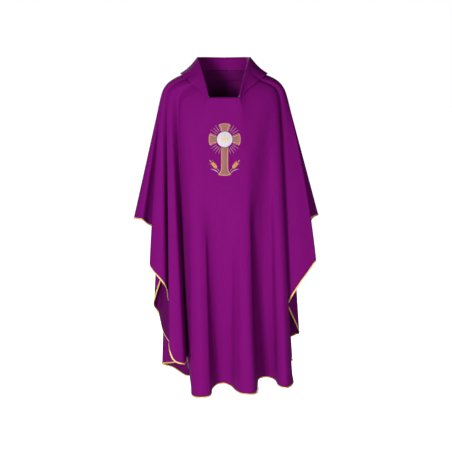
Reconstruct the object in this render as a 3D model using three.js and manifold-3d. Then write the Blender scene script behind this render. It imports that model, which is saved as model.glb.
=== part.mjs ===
// A chasuble, the sleeveless outer vestment, as it hangs from a pair of shoulders.
// Millimetres, +Z up, the front faces -Y. The origin is the middle of the neck,
// level with the ridge of the shoulders, where the garment is carried.
//
// Every cloth piece lies on one of two draped surfaces, the front and the back
// panel. Each surface runs from the neckline over the yoke to the contour where
// the cloth leaves the body, and from there straight down to the hem.

import * as THREE from "three";
import { mergeVertices } from "three/addons/utils/BufferGeometryUtils.js";
import Module from "manifold-3d";

const wasm = await Module();
wasm.setup();

// ---------------------------------------------------------------- sizes

const cloth = 1.2; // thickness of a panel, its turnings pressed flat
const seamGap = 0.3; // clearance wherever two pieces lie against each other

const neckHalfWidth = 90; // neckline seam, at the top of the shoulder
const neckFrontHalfWidth = 58; // straight front edge of the square neck
const neckFrontDrop = 97; // shoulder seam at the neck down to that front edge
const neckFrontReach = 135; // neck axis to the front edge
const neckBackReach = 82; // neck axis to the seam at the centre back
const neckSideHeight = 6; // shoulder seam at the neck, above the origin
const neckCorner = 0.3; // share of half a neckline that is the straight front edge
const neckDip = 1.6; // how late the neckline starts to drop towards the front

const shoulderReach = 250; // neck axis to the point where the sleeve edge starts to hang
const shoulderDrop = 108; // origin down to that point
const yokeDepth = 450; // origin down to where the chest leaves the body
const chestReach = 168; // neck axis to the chest at that depth
const chestEnds = [0.34, 0.5]; // places on the contour between which the flat chest ends
const shoulderStarts = [0.35, 0.95]; // places between which the rounding of the shoulder grows
const shoulderRise = [30, 52]; // how far it lifts the cloth, a third and two thirds of the way out
const shoulderPush = [-3, 49]; // how far it moves the cloth outwards there

const hemSpread = 359; // neck axis to the sleeve tip, hanging
const garmentDrop = 1245; // origin down to the lowest point of the hem
const hemDepth = 222; // neck axis to the foremost fold of the hem

const bindingDiameter = 4.4; // rolled satin edge along the hem
const bindingSides = 6;

const collarStand = 52; // collar height from its seam to the roll, at the side
const collarEndStand = 10; // the same at the two front ends
const collarLean = 8; // how far the roll leans outwards at the side
const collarBackStand = 49; // and at the centre back
const collarFall = 78; // breadth of the turned-down part at the side
const collarBackFall = 88;
const collarEndFall = 5;
const collarLift = 7; // free edge above the shoulder it hangs over
const collarSag = 6; // how far the turned-down part hangs below a straight line
const collarRoll = 5; // radius of the roll
const collarEndPlace = 0.31; // the two ends, on the front neckline just past its corners
const collarCloth = 0.8;
const interfacing = 0.5;

const collarThickness = 2 * collarCloth + interfacing + 2 * seamGap;
const collarSeamGap = 0.7; // between the collar's seam edge and the panels'

const facingDepth = 42;
const facingCloth = 0.8;
const tapeWidth = 10;
const tapeThickness = 0.6;

const crossRise = 60; // middle of the cross to the end of its top arm
const crossReach = 60; // to the end of a side arm
const crossFoot = 137; // to the foot of the shaft
const crossCentreDrop = 248; // origin down to the middle of the cross
const crossCentreSide = 3; // that it lies to the wearer's left
const armNeck = 26; // width of an arm beside the host
const armFlare = 45.5; // width at its end
const shaftNeck = 26;
const footFlare = 54;
const endBulge = 5; // how far the end of an arm curves out past its corners
const borderWidth = 3;
const hostRadius = 25.9;
const hostRingWidth = 3.6;
const stitchHeight = 0.8;
const fillHeight = 0.6;
const motifLength = 30; // arms of the small cross on the host, end to end
const motifWidth = 5;

const rayStart = 36; // middle of the cross to the feet of the rays
const rayEnds = [58, 62, 60, 62, 58]; // and to the tips of one quarter's
const rayWidth = 1.3;
const raySpread = THREE.MathUtils.degToRad(44);

const earFoot = new THREE.Vector2(20, -120); // where the stalk leaves the shaft's foot
const earLean = THREE.MathUtils.degToRad(41.5);
const stalkLength = 15;
const earLength = 41;
const stalkWidth = 1.6;
const grainLength = 10.5;
const grainWidth = 4.4;
const grainOffset = 2.2; // from the stalk to the middle of a grain
const grainSplay = 0.5; // how far a grain turns away from the stalk, in radians
const grainPairs = 4;
const leafFoot = new THREE.Vector2(24, -124);
const leafReach = 29;
const leafRise = 13;
const leafWidth = 2.6;
const backingMargin = 8; // how far the stabiliser goes past the stitches

const panelRowsYoke = 5;
const panelRowsHang = 3;
const foldSteps = [0, 0.2, 0.8]; // facet lines of a fold, close to its bends

// ------------------------------------------------------- how the cloth hangs

// Each row is one ridge, valley or flank of the drape, from the wearer's right
// sleeve tip to the left one: its place on the shoulder contour (-1 to 1), how
// far the pleat is already pressed out (+) or in (-) there, then where its hem
// hangs, sideways, forwards and down, as a share of the hem's own sizes. A last
// value bows the hanging line sideways, in millimetres at its middle.
const frontFolds = [
  // sleeve tip, sleeve face and the hollow behind it
  [-1, 0, -1, 0, 0.458],
  [-0.98, 0, -0.9, 0.15, 0.459],
  [-0.955, -8, -0.835, -0.04, 0.48],
  [-0.93, -20, -0.7, -0.16, 0.505],
  // outer side fold
  [-0.905, -4, -0.71, 0.25, 0.56],
  [-0.88, 4, -0.805, 0.5, 0.589, -4],
  [-0.85, 5, -0.64, 0.67, 0.648],
  [-0.822, -26, -0.612, 0, 0.735],
  [-0.805, -26, -0.55, -0.01, 0.755],
  // inner side fold
  [-0.78, 3, -0.595, 0.78, 0.845],
  [-0.745, 4, -0.53, 0.87, 0.885],
  [-0.72, 0, -0.435, 0.84, 0.896],
  [-0.7, -24, -0.42, 0.22, 0.908],
  // flank and column on the wearer's right
  [-0.6, -8, -0.38, 0.46, 0.957],
  [-0.47, -4, -0.36, 0.65, 0.985],
  [-0.36, 0, -0.345, 0.84, 1],
  [-0.28, 0, -0.25, 0.985, 0.998],
  [-0.21, 0, -0.15, 0.93, 0.995],
  [-0.17, 0, -0.125, 0.7, 0.985],
  // hollow at the centre
  [-0.1, 0, -0.07, 0.56, 0.98],
  [0, 0, 0.005, 0.53, 0.98],
  [0.08, 0, 0.075, 0.6, 0.983],
  // column on the wearer's left, and the hollow beside it
  [0.13, 0, 0.135, 0.8, 0.987],
  [0.18, 0, 0.205, 0.97, 0.986, -3],
  [0.23, 0, 0.31, 1, 0.986, -6],
  [0.265, 0, 0.365, 0.9, 0.985, -8],
  [0.305, -6, 0.385, 0.5, 0.967, -8],
  [0.43, -8, 0.47, 0.36, 0.968, -4],
  [0.55, -3, 0.56, 0.5, 0.968],
  // column at the side
  [0.62, 0, 0.605, 0.76, 0.973],
  [0.68, 3, 0.68, 0.84, 0.975],
  [0.725, 3, 0.745, 0.72, 0.973],
  [0.75, 0, 0.768, 0.48, 0.968, -18],
  [0.775, -26, 0.645, -0.05, 0.875, -22],
  [0.79, -26, 0.69, -0.02, 0.84, -24],
  // outer side fold
  [0.82, 3, 0.7, 0.45, 0.72, -18],
  [0.86, 6, 0.82, 0.5, 0.655, 0],
  [0.885, 4, 0.955, 0.45, 0.6, 8],
  [0.9, 2, 1.002, 0.42, 0.578, 11],
  [0.915, -6, 0.93, 0.22, 0.555, 5],
  [0.93, -16, 0.77, -0.06, 0.522],
  // hollow, sleeve face and sleeve tip
  [0.955, -4, 0.86, 0.06, 0.472],
  [0.98, 0, 0.942, 0.14, 0.455],
  [1, 0, 1.045, 0, 0.447],
];

const backFolds = [
  // sleeve tip and the hollow behind it
  [-1, 0, -1, 0, 0.458],
  [-0.98, 0, -0.92, 0.24, 0.47],
  [-0.95, -4, -0.745, 0.25, 0.51],
  [-0.92, -8, -0.6, 0.205, 0.575],
  // side folds on the wearer's right
  [-0.88, 2, -0.74, 0.4, 0.68],
  [-0.84, 4, -0.816, 0.51, 0.765],
  [-0.815, 4, -0.77, 0.64, 0.8],
  [-0.79, -2, -0.7, 0.42, 0.86],
  [-0.77, -8, -0.51, 0.16, 0.935],
  [-0.735, 2, -0.735, 0.7, 0.985],
  [-0.69, -2, -0.6, 0.46, 0.984],
  [-0.65, -4, -0.42, 0.2, 0.998],
  [-0.58, -2, -0.38, 0.6, 0.985],
  // columns and hollow of the back
  [-0.48, 3, -0.26, 0.96, 1],
  [-0.33, 2, -0.13, 0.88, 0.996],
  [-0.15, 0, -0.03, 0.6, 0.99],
  [0, 0, 0.08, 0.66, 0.99],
  [0.17, 2, 0.18, 0.95, 0.996],
  [0.35, 2, 0.3, 0.93, 0.994],
  [0.5, -3, 0.38, 0.55, 0.98],
  // side folds on the wearer's left
  [0.62, 2, 0.55, 0.9, 0.982],
  [0.68, 3, 0.7, 0.88, 0.98],
  [0.73, 2, 0.812, 0.74, 0.975],
  [0.78, -8, 0.655, 0.28, 0.89],
  [0.82, 3, 0.845, 0.6, 0.875],
  [0.86, 4, 0.877, 0.48, 0.862],
  [0.895, -8, 0.68, 0.2, 0.69],
  // hollow behind the sleeve, and sleeve tip
  [0.93, 2, 0.84, 0.27, 0.58],
  [0.955, -2, 0.93, 0.25, 0.5],
  [0.98, 0, 0.99, 0.15, 0.462],
  [1, 0, 1.045, 0, 0.447],
];

// ------------------------------------------------------------ small helpers

const clamp = THREE.MathUtils.clamp;
const lerp = THREE.MathUtils.lerp;
const point = (x, y, z) => new THREE.Vector3(x, y, z);

/** A smooth curve through points, leaving and entering the shoulder seam square to it. */
function seamToSeam(points) {
  const mirrored = (p) => point(p.x, -p.y, p.z);
  const first = mirrored(points[1]);
  const last = mirrored(points[points.length - 2]);
  const all = [first, ...points, last];
  const spans = points.length - 1;
  return (share) => {
    const place = clamp(share, 0, 1) * spans;
    const i = Math.min(Math.floor(place), spans - 1);
    return catmullRom(all[i], all[i + 1], all[i + 2], all[i + 3], place - i);
  };
}

/** One span of a centripetal Catmull-Rom curve, from b to c. */
function catmullRom(a, b, c, d, t) {
  const knot = (p, q) => Math.max(Math.sqrt(p.distanceTo(q)), 1e-3);
  const t0 = 0;
  const t1 = t0 + knot(a, b);
  const t2 = t1 + knot(b, c);
  const t3 = t2 + knot(c, d);
  const at = lerp(t1, t2, t);
  const blend = (p, q, from, to) => p.clone().lerp(q, (at - from) / (to - from));
  const ab = blend(a, b, t0, t1);
  const bc = blend(b, c, t1, t2);
  const cd = blend(c, d, t2, t3);
  return blend(blend(ab, bc, t0, t2), blend(bc, cd, t1, t3), t1, t2);
}

/** A value read off a short list of [place, value] pairs. */
function along(pairs, place) {
  const last = pairs[pairs.length - 1];
  if (place <= pairs[0][0]) return pairs[0][1];
  if (place >= last[0]) return last[1];
  const i = pairs.findIndex(([at]) => at >= place);
  const [from, a] = pairs[i - 1];
  const [to, b] = pairs[i];
  return lerp(a, b, (place - from) / (to - from));
}

// ------------------------------------------------------------- the drape

const neckFrontHeight = neckSideHeight - neckFrontDrop;
/** The chest is flat across the middle: how far forward it is at a height. */
const chestSlope = (chestReach - neckFrontReach) / (yokeDepth + neckFrontHeight);
const chestForward = (height) => neckFrontReach + chestSlope * (neckFrontHeight - height);

/** Half a neckline, from the centre (0) to the shoulder seam (1), forward positive. */
function frontNeckPoint(place) {
  if (place < neckCorner) {
    const x = (place / neckCorner) * neckFrontHalfWidth;
    return point(x, neckFrontReach, neckFrontHeight);
  }
  const rise = (place - neckCorner) / (1 - neckCorner);
  const forward = neckFrontReach * Math.cos((rise * Math.PI) / 2);
  const dip = (forward / neckFrontReach) ** neckDip;
  const x = lerp(neckHalfWidth, neckFrontHalfWidth, dip);
  return point(x, forward, neckSideHeight - neckFrontDrop * dip);
}

function backNeckPoint(place) {
  const turn = (place * Math.PI) / 2;
  return point(neckHalfWidth * Math.sin(turn), neckBackReach * Math.cos(turn), neckSideHeight);
}

/** Where the cloth leaves the body, from the centre (0) to the sleeve edge (1). */
const contourForms = [
  // place, share sideways, share forwards, share of the way from the sleeve edge's
  // height down to the chest's
  [0, 0, 1, 1],
  [0.22, 0.33, 0.965, 0.849],
  [0.42, 0.55, 0.84, 0.421],
  [0.6, 0.72, 0.61, 0.079],
  [0.72, 0.82, 0.455, -0.02],
  [0.86, 0.945, 0.23, -0.033],
  [1, 1, 0, 0],
];

function contourPoint(place) {
  const i = clamp(contourForms.findIndex(([at]) => at >= place), 1, contourForms.length - 1);
  const pick = (k) => {
    const [, x, forward, down] = contourForms[clamp(k, 0, contourForms.length - 1)];
    return point(x * shoulderReach, forward * chestReach, -lerp(shoulderDrop, yokeDepth, down));
  };
  const before = i === 1 ? pick(1).setX(-pick(1).x) : pick(i - 2);
  const after = i === contourForms.length - 1 ? pick(i - 1).setY(-pick(i - 1).y) : pick(i + 1);
  const [from] = contourForms[i - 1];
  const [to] = contourForms[i];
  const found = catmullRom(before, pick(i - 1), pick(i), after, (place - from) / (to - from));
  const flat = 1 - THREE.MathUtils.smoothstep(place, ...chestEnds);
  found.y = lerp(found.y, chestForward(found.z), flat);
  return found;
}

/** The front or back panel as a surface: share across (0 to 1), share down (0 to 1). */
function drapedPanel(folds, neckPoint, facing) {
  const place = (p) => point(p.x, facing * p.y, p.z);
  const signed = (halfCurve, at) => {
    const p = halfCurve(Math.abs(at));
    return point(Math.sign(at) * p.x, p.y, p.z);
  };
  const outward = (p) => point(p.x, p.y, 0).normalize();

  const contour = folds.map(([at, pressed]) => {
    const p = signed(contourPoint, at);
    return place(p.addScaledVector(outward(p), pressed));
  });
  const hem = folds.map(([, , x, forward, down]) =>
    place(point(x * hemSpread, forward * hemDepth, -down * garmentDrop)));
  const contourCurve = seamToSeam(contour);
  const hemCurve = seamToSeam(hem);
  const places = folds.map(([at]) => at);
  const bows = folds.map((fold) => fold[5] ?? 0);
  const spans = folds.length - 1;

  const placeAt = (across) => {
    const where = clamp(across, 0, 1) * spans;
    const i = Math.min(Math.floor(where), spans - 1);
    return lerp(places[i], places[i + 1], where - i);
  };

  // the yoke curves over the shoulder and lies flat across the chest
  const yokePoint = (across, w) => {
    const at = placeAt(across);
    const neck = place(signed(neckPoint, at));
    const leaves = contourCurve(across);
    const crown = THREE.MathUtils.smoothstep(Math.abs(at), ...shoulderStarts);
    const out = outward(leaves);
    const [first, second] = [0, 1].map((i) =>
      neck.clone().lerp(leaves, (i + 1) / 3).addScaledVector(out, shoulderPush[i] * crown)
        .add(point(0, 0, shoulderRise[i] * crown)));
    return new THREE.CubicBezierCurve3(neck, first, second, leaves).getPoint(w);
  };
  const hangPoint = (across, f) => {
    const where = clamp(across, 0, 1) * spans;
    const i = Math.min(Math.floor(where), spans - 1);
    const bow = lerp(bows[i], bows[i + 1], THREE.MathUtils.smoothstep(where - i, 0, 1));
    const p = contourCurve(across).lerp(hemCurve(across), f);
    return p.add(point(4 * f * (1 - f) * bow, 0, 0));
  };

  const surface = (across, down) =>
    down < 0.5 ? yokePoint(across, down * 2) : hangPoint(across, down * 2 - 1);
  const normal = (across, down) => {
    const small = 1e-3;
    const low = clamp(down, small, 1 - small);
    const side = surface(across + small, low).sub(surface(across - small, low));
    const fall = surface(across, low + small).sub(surface(across, low - small));
    const found = side.cross(fall).multiplyScalar(facing);
    if (across <= 0 || across >= 1) found.y = 0;
    return found.normalize();
  };
  const acrossAt = (at) => {
    const i = clamp(places.findIndex((p) => p >= at), 1, spans);
    return (i - 1 + (at - places[i - 1]) / (places[i] - places[i - 1])) / spans;
  };
  return { surface, normal, hemCurve, yokePoint, placeAt, acrossAt, facing, spans };
}

const front = drapedPanel(frontFolds, frontNeckPoint, -1);
const back = drapedPanel(backFolds, backNeckPoint, 1);

// ------------------------------------------------------------ solid makers

/** Bends a box into a sheet: form(across, down, side) places each of its corners. */
function bentSheet(columns, rows, form) {
  const box = new THREE.BoxGeometry(1, 1, 1, columns, rows, 1);
  const where = box.attributes.position;
  for (let i = 0; i < where.count; i++) {
    const p = form(where.getX(i) + 0.5, 0.5 - where.getY(i), Math.sign(where.getZ(i)));
    where.setXYZ(i, p.x, p.y, p.z);
  }
  alikeDiagonals(box);
  return pointOutwards(box);
}

/** Splits the quads of a box's last face as those of the face across from it. */
function alikeDiagonals(box) {
  const index = box.index.array;
  const { start, count } = box.groups[box.groups.length - 1];
  for (let i = start; i < start + count; i += 6) {
    const [a, b, d, , c] = index.slice(i, i + 6);
    index.set([a, b, c, a, c, d], i);
  }
}

/** Merges doubled corners and makes the faces of a closed mesh point outwards. */
function pointOutwards(geometry) {
  geometry.deleteAttribute("normal");
  geometry.deleteAttribute("uv");
  const merged = mergeVertices(geometry, 1e-4);
  const where = merged.attributes.position;
  const index = merged.index.array;
  const [a, b, c] = [point(0, 0, 0), point(0, 0, 0), point(0, 0, 0)];
  let volume = 0;
  for (let i = 0; i < index.length; i += 3) {
    a.fromBufferAttribute(where, index[i]);
    b.fromBufferAttribute(where, index[i + 1]);
    c.fromBufferAttribute(where, index[i + 2]);
    volume += a.dot(b.cross(c));
  }
  if (volume < 0) {
    for (let i = 0; i < index.length; i += 3) {
      [index[i + 1], index[i + 2]] = [index[i + 2], index[i + 1]];
    }
  }
  merged.computeVertexNormals();
  return merged;
}

function toSolid(geometry) {
  const merged = pointOutwards(geometry.clone());
  return new wasm.Manifold(new wasm.Mesh({
    numProp: 3,
    vertProperties: new Float32Array(merged.attributes.position.array),
    triVerts: new Uint32Array(merged.index.array),
  }));
}

/** Joins overlapping pieces of one embroidered motif into one body. */
function joined(geometries) {
  const solid = geometries.map(toSolid).reduce((whole, piece) => whole.add(piece));
  const mesh = solid.getMesh();
  const geometry = new THREE.BufferGeometry();
  geometry.setAttribute("position", new THREE.BufferAttribute(mesh.vertProperties, 3));
  geometry.setIndex(new THREE.BufferAttribute(mesh.triVerts, 1));
  geometry.computeVertexNormals();
  return geometry;
}

// --------------------------------------------------------------- materials

const finish = (color, roughness, metalness = 0) => ({ color, roughness, metalness });
const purple = finish("#7a1273", 0.85);
const purpleInside = finish("#5c0c58", 0.9);
const goldSatin = finish("#e0b060", 0.45, 0.1);
const paleInterfacing = finish("#e6e0d6", 0.95);
const copperFill = finish("#a4706a", 0.6);
const peachGold = finish("#e2a868", 0.45, 0.1);
const whiteThread = finish("#efe9ee", 0.55);
const creamThread = finish("#f0dfb4", 0.55);
const silverThread = finish("#d9d3df", 0.45, 0.1);

const chasuble = new THREE.Group();

function piece(name, geometry, look, group = chasuble) {
  const mesh = new THREE.Mesh(geometry, new THREE.MeshStandardMaterial(look));
  mesh.name = name;
  group.add(mesh);
  return mesh;
}

// ------------------------------------------------------------------ panels

const panelColumns = (panel) => panel.spans * foldSteps.length;

/** Where across a panel each of its columns of facets lies. */
function columnPlace(panel, share) {
  const column = Math.round(clamp(share, 0, 1) * panelColumns(panel));
  const fold = Math.floor(column / foldSteps.length);
  return clamp((fold + foldSteps[column % foldSteps.length]) / panel.spans, 0, 1);
}

/** How far down a panel each of its rows of facets lies: the facing's edge comes first. */
function rowPlace(panel, across, row) {
  if (row === 0) return 0;
  const length = panel.surface(across, 0).distanceTo(panel.surface(across, 0.5));
  const facingEdge = (facingDepth / length) * 0.5;
  if (row <= panelRowsYoke) return lerp(facingEdge, 0.5, (row - 1) / (panelRowsYoke - 1));
  return 0.5 + (0.5 * (row - panelRowsYoke)) / panelRowsHang;
}

/** A layer of cloth that follows a panel at a distance, outwards positive. */
function layer(panel, across, down, offset) {
  const p = panel.surface(across, down);
  p.addScaledVector(panel.normal(across, down), offset);
  p.y += (panel.facing * seamGap) / 2;
  return p;
}

function panelSolid(panel) {
  const rows = panelRowsYoke + panelRowsHang;
  return bentSheet(panelColumns(panel), rows, (share, down, side) => {
    const across = columnPlace(panel, share);
    const place = rowPlace(panel, across, Math.round(down * rows));
    return layer(panel, across, place, (side * cloth) / 2);
  });
}

piece("front_panel", panelSolid(front), purple);
piece("back_panel", panelSolid(back), purple);

// ------------------------------------------------------------- hem bindings

/** The satin edge is a bent rod that follows the hem just past the cloth. */
function bindingSolid(panel) {
  const radius = bindingDiameter / 2;
  const rod = new THREE.CylinderGeometry(radius, radius, 1, bindingSides, panelColumns(panel));
  const where = rod.attributes.position;
  for (let i = 0; i < where.count; i++) {
    const across = columnPlace(panel, where.getY(i) + 0.5);
    const { edge, below, outwards } = hemEdge(panel, across);
    edge.addScaledVector(below, radius + seamGap + where.getX(i));
    edge.addScaledVector(outwards, where.getZ(i));
    where.setXYZ(i, edge.x, edge.y, edge.z);
  }
  return pointOutwards(rod);
}

/** A point of the hem, with the ways that go off the cloth's edge and off its face. */
function hemEdge(panel, across) {
  const small = 1e-3;
  const edge = layer(panel, across, 1, 0);
  const outwards = panel.normal(across, 1);
  const run = panel.hemCurve(across + small).sub(panel.hemCurve(across - small));
  if (across <= 0 || across >= 1) run.set(0, panel.facing * (across - 0.5), 0);
  const below = run.cross(outwards).normalize().multiplyScalar(-panel.facing);
  return { edge, below, outwards };
}

piece("front_hem_binding", bindingSolid(front), goldSatin);
piece("back_hem_binding", bindingSolid(back), goldSatin);

// ---------------------------------------------------- facings and shoulder tapes

const facingOffset = -(cloth / 2 + seamGap + facingCloth / 2);

function facingSolid(panel) {
  return bentSheet(panelColumns(panel), 1, (share, down, side) => {
    const across = columnPlace(panel, share);
    return layer(panel, across, rowPlace(panel, across, down),
      facingOffset + (side * facingCloth) / 2);
  });
}

piece("front_neck_facing", facingSolid(front), purpleInside);
piece("back_neck_facing", facingSolid(back), purpleInside);

/** A tape under the shoulder seam, from the facing to the turn of the shoulder. */
function tapeSolid(across) {
  const firstRow = 1;
  const rows = panelRowsYoke - 2;
  const centre = -(cloth / 2 + 2 * seamGap + tapeThickness / 2);
  const camber = 0.5;
  return bentSheet(rows, 2, (step, over, side) => {
    const clearOfFacing = 0.004 * (1 - step);
    const down = clearOfFacing + rowPlace(front, across, firstRow + Math.round(step * rows));
    const offset = centre - camber * (2 * over - 1) ** 2 + (side * tapeThickness) / 2;
    const p = front.surface(across, down);
    p.addScaledVector(front.normal(across, down), offset);
    p.y = (over - 0.5) * tapeWidth;
    return p;
  });
}

piece("right_shoulder_tape", tapeSolid(0), paleInterfacing);
piece("left_shoulder_tape", tapeSolid(1), paleInterfacing);

// ------------------------------------------------------------------- collar

/** From one front end (-1) round the back (0) to the other (1). */
function collarStation(share) {
  const side = Math.sign(share) || 1;
  const round = Math.abs(share);
  const onBack = round < 0.5;
  const at = onBack ? round * 2 : lerp(1, collarEndPlace, (round - 0.5) * 2);
  const panel = onBack ? back : front;
  return { panel, at, across: panel.acrossAt(side * at), round };
}

const collarHeight = [[0, collarBackStand], [0.5, collarStand], [1, collarEndStand]];
const collarBreadth = [
  [0, collarBackFall],
  [0.35, collarFall + 5],
  [0.5, collarFall],
  [0.6, 0.93 * collarFall],
  [0.7, 0.63 * collarFall],
  [0.8, 0.27 * collarFall],
  [0.9, 0.09 * collarFall],
  [1, collarEndFall],
];

/** The way off a panel's neck edge, level with its cloth. */
function neckward(panel, across) {
  const small = 1e-3;
  const from = clamp(across, small, 1 - small);
  const run = panel.surface(from + small, 0).sub(panel.surface(from - small, 0));
  const way = run.cross(panel.normal(from, 0)).normalize();
  const fall = panel.surface(from, small).sub(panel.surface(from, 0));
  return way.multiplyScalar(-Math.sign(way.dot(fall)));
}

/** One cross-section of the collar: seam, stand, roll and fall to the free edge. */
function collarSection(share) {
  const { panel, across, round } = collarStation(share);
  const height = along(collarHeight, round);
  const breadth = along(collarBreadth, round);
  const lean = collarLean * (height / collarStand);
  const radius = Math.min(collarRoll, height * 0.3);
  const seam = layer(panel, across, 0, 0);
  seam.addScaledVector(neckward(panel, across), collarThickness / 2 + collarSeamGap);
  const out = point(seam.x, seam.y, 0).normalize();
  const length = panel.surface(across, 0).distanceTo(panel.surface(across, 0.5));
  const reach = (breadth / length) * 0.5;
  const lift = Math.min(collarLift, breadth * 0.4);
  const free = layer(panel, across, reach, cloth / 2 + lift);
  const top = seam.clone().addScaledVector(out, lean).add(point(0, 0, height));
  const stand = (h) => seam.clone().addScaledVector(out, lean * h).add(point(0, 0, height * h));
  const fallStart = top.clone().addScaledVector(out, 2 * radius).add(point(0, 0, -radius));
  const sag = collarSag * Math.min(1, breadth / collarFall);
  const fall = (f) => {
    const p = fallStart.clone().lerp(free, f);
    return p.add(point(0, 0, -4 * sag * f * (1 - f)));
  };
  return [
    seam,
    stand(0.45),
    top.clone().add(point(0, 0, -radius)),
    top.clone().addScaledVector(out, radius),
    fallStart,
    fall(0.35),
    fall(0.7),
    free,
  ];
}

function collarPoint(share, across) {
  const section = collarSection(share);
  const spans = section.length - 1;
  const place = clamp(across, 0, 1) * spans;
  const i = Math.min(Math.floor(place), spans - 1);
  const before = section[i - 1] ?? section[i].clone().multiplyScalar(2).sub(section[i + 1]);
  const after = section[i + 2] ?? section[i + 1].clone().multiplyScalar(2).sub(section[i]);
  return catmullRom(before, section[i], section[i + 1], after, place - i);
}

function collarNormal(share, across) {
  const small = 2e-3;
  const round = clamp(share, -1 + small, 1 - small);
  const over = clamp(across, small, 1 - small);
  const alongSeam = collarPoint(round + small, over).sub(collarPoint(round - small, over));
  const up = collarPoint(round, over + small).sub(collarPoint(round, over - small));
  return alongSeam.cross(up).normalize();
}

function collarLayer(offset, thickness) {
  const stations = 46;
  const sections = 7;
  return bentSheet(stations, sections, (round, over, side) => {
    const share = round * 2 - 1;
    const p = collarPoint(share, over);
    return p.addScaledVector(collarNormal(share, over), offset + (side * thickness) / 2);
  });
}

const layerStep = interfacing / 2 + seamGap + collarCloth / 2;
piece("upper_collar", collarLayer(layerStep, collarCloth), purple);
piece("collar_interfacing", collarLayer(0, interfacing), paleInterfacing);
piece("under_collar", collarLayer(-layerStep, collarCloth), purpleInside);

// --------------------------------------------------------------- embroidery

// The embroidery lies flat on the chest, in its own plane: x across, y up.
const chest = new THREE.Group();
const chestTilt = Math.atan(chestSlope);
chest.position.set(crossCentreSide, -chestForward(-crossCentreDrop) - seamGap / 2, -crossCentreDrop);
chest.rotation.x = Math.PI / 2 - chestTilt;
chasuble.add(chest);

const stitchBase = cloth / 2 + seamGap;

/** A flat stitched shape, raised off the cloth by a height. */
function stitched(shape, height, base = stitchBase) {
  const geometry = new THREE.ExtrudeGeometry(shape,
    { depth: height, bevelEnabled: false, curveSegments: 7 });
  return geometry.translate(0, 0, base);
}

/** Half the outline of a cross arm pointing up, shrunk by an inset on its free sides. */
function armOutline(arm, inset) {
  const { start, end, neck, flare, sharpness } = arm;
  const corner = end - endBulge;
  const sideSteps = 7;
  const endSteps = 3;
  const halfWidth = (y) => {
    const share = clamp((y - start) / (corner - start), 0, 1);
    return lerp(neck, flare, share ** sharpness) / 2 - inset;
  };
  const points = [];
  for (let i = 0; i <= sideSteps; i++) {
    const y = lerp(start, corner - inset, (i / sideSteps) ** 0.7);
    points.push(new THREE.Vector2(halfWidth(y), y));
  }
  const widest = halfWidth(corner - inset);
  for (let i = 1; i <= endSteps; i++) {
    const swing = ((1 - i / endSteps) * Math.PI) / 2;
    const y = corner - inset + endBulge * Math.cos(swing);
    points.push(new THREE.Vector2(widest * Math.sin(swing), y));
  }
  return points;
}

/** The other half of an outline that ends on the middle line, going back. */
const mirrorX = (points) =>
  points.slice(0, -1).map((p) => new THREE.Vector2(-p.x, p.y)).reverse();

function armPieces(name, turn, arm) {
  const outer = armOutline(arm, 0);
  const inner = armOutline(arm, borderWidth);
  const field = armOutline(arm, borderWidth + seamGap);
  const whole = (half) => [...half, ...mirrorX(half)];
  const border = [...whole(outer), ...whole(inner).reverse()];
  piece(`cross_${name}_border`,
    stitched(new THREE.Shape(border), stitchHeight).rotateZ(turn), peachGold, chest);
  piece(`cross_${name}_field`,
    stitched(new THREE.Shape(whole(field)), fillHeight).rotateZ(turn), copperFill, chest);
}

const armStart = hostRadius + hostRingWidth + seamGap;
const arm = (end) =>
  ({ start: armStart, end, neck: armNeck, flare: armFlare, sharpness: 2.6 });
const shaft =
  { start: armStart, end: crossFoot, neck: shaftNeck, flare: footFlare, sharpness: 14 };

armPieces("top", 0, arm(crossRise));
armPieces("right", Math.PI / 2, arm(crossReach));
armPieces("left", -Math.PI / 2, arm(crossReach));
armPieces("shaft", Math.PI, shaft);

function ringShape(outer, inner) {
  const shape = new THREE.Shape().absarc(0, 0, outer, 0, 2 * Math.PI);
  shape.holes.push(new THREE.Path().absarc(0, 0, inner, 0, 2 * Math.PI, true));
  return shape;
}

const hostRing = ringShape(hostRadius + hostRingWidth, hostRadius + seamGap);
piece("host_ring", stitched(hostRing, stitchHeight), whiteThread, chest);
const hostShape = new THREE.Shape().absarc(0, 0, hostRadius, 0, 2 * Math.PI);
piece("host_disc", stitched(hostShape, fillHeight), whiteThread, chest);

/** A plain equal-armed cross stitched on the host. */
function hostMotif() {
  const bar = (w, h) => stitched(new THREE.Shape([
    new THREE.Vector2(-w / 2, -h / 2), new THREE.Vector2(w / 2, -h / 2),
    new THREE.Vector2(w / 2, h / 2), new THREE.Vector2(-w / 2, h / 2),
  ]), fillHeight, stitchBase + fillHeight + seamGap);
  return joined([bar(motifLength, motifWidth), bar(motifWidth, motifLength)]);
}

piece("host_motif", hostMotif(), creamThread, chest);

// ---------------------------------------------------------------- rays

/** The rays of one quarter, with the travelling stitch that joins their feet. */
function rayGroup(middle) {
  const first = middle - raySpread / 2;
  const travel = ringSector(rayStart, rayWidth, first, first + raySpread);
  const rays = rayEnds.map((end, i) => {
    const angle = first + (raySpread * i) / (rayEnds.length - 1);
    const bar = new THREE.Shape([
      new THREE.Vector2(rayStart, -rayWidth / 2), new THREE.Vector2(end, -rayWidth / 4),
      new THREE.Vector2(end, rayWidth / 4), new THREE.Vector2(rayStart, rayWidth / 2),
    ]);
    return stitched(bar, fillHeight).rotateZ(angle);
  });
  return joined([travel, ...rays]);
}

function ringSector(radius, width, from, to) {
  const shape = new THREE.Shape();
  shape.absarc(0, 0, radius + width / 2, from, to);
  shape.absarc(0, 0, radius - width / 2, to, from, true);
  return stitched(shape, fillHeight);
}

["upper_left", "upper_right", "lower_right", "lower_left"].forEach((quarter, i) => {
  piece(`rays_${quarter}`, rayGroup(Math.PI / 4 + (i * Math.PI) / 2), goldSatin, chest);
});

// ------------------------------------------------------- wheat ears and leaves

const ellipseShape = (length, width) =>
  new THREE.Shape().absellipse(0, 0, width / 2, length / 2, 0, 2 * Math.PI);

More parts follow.
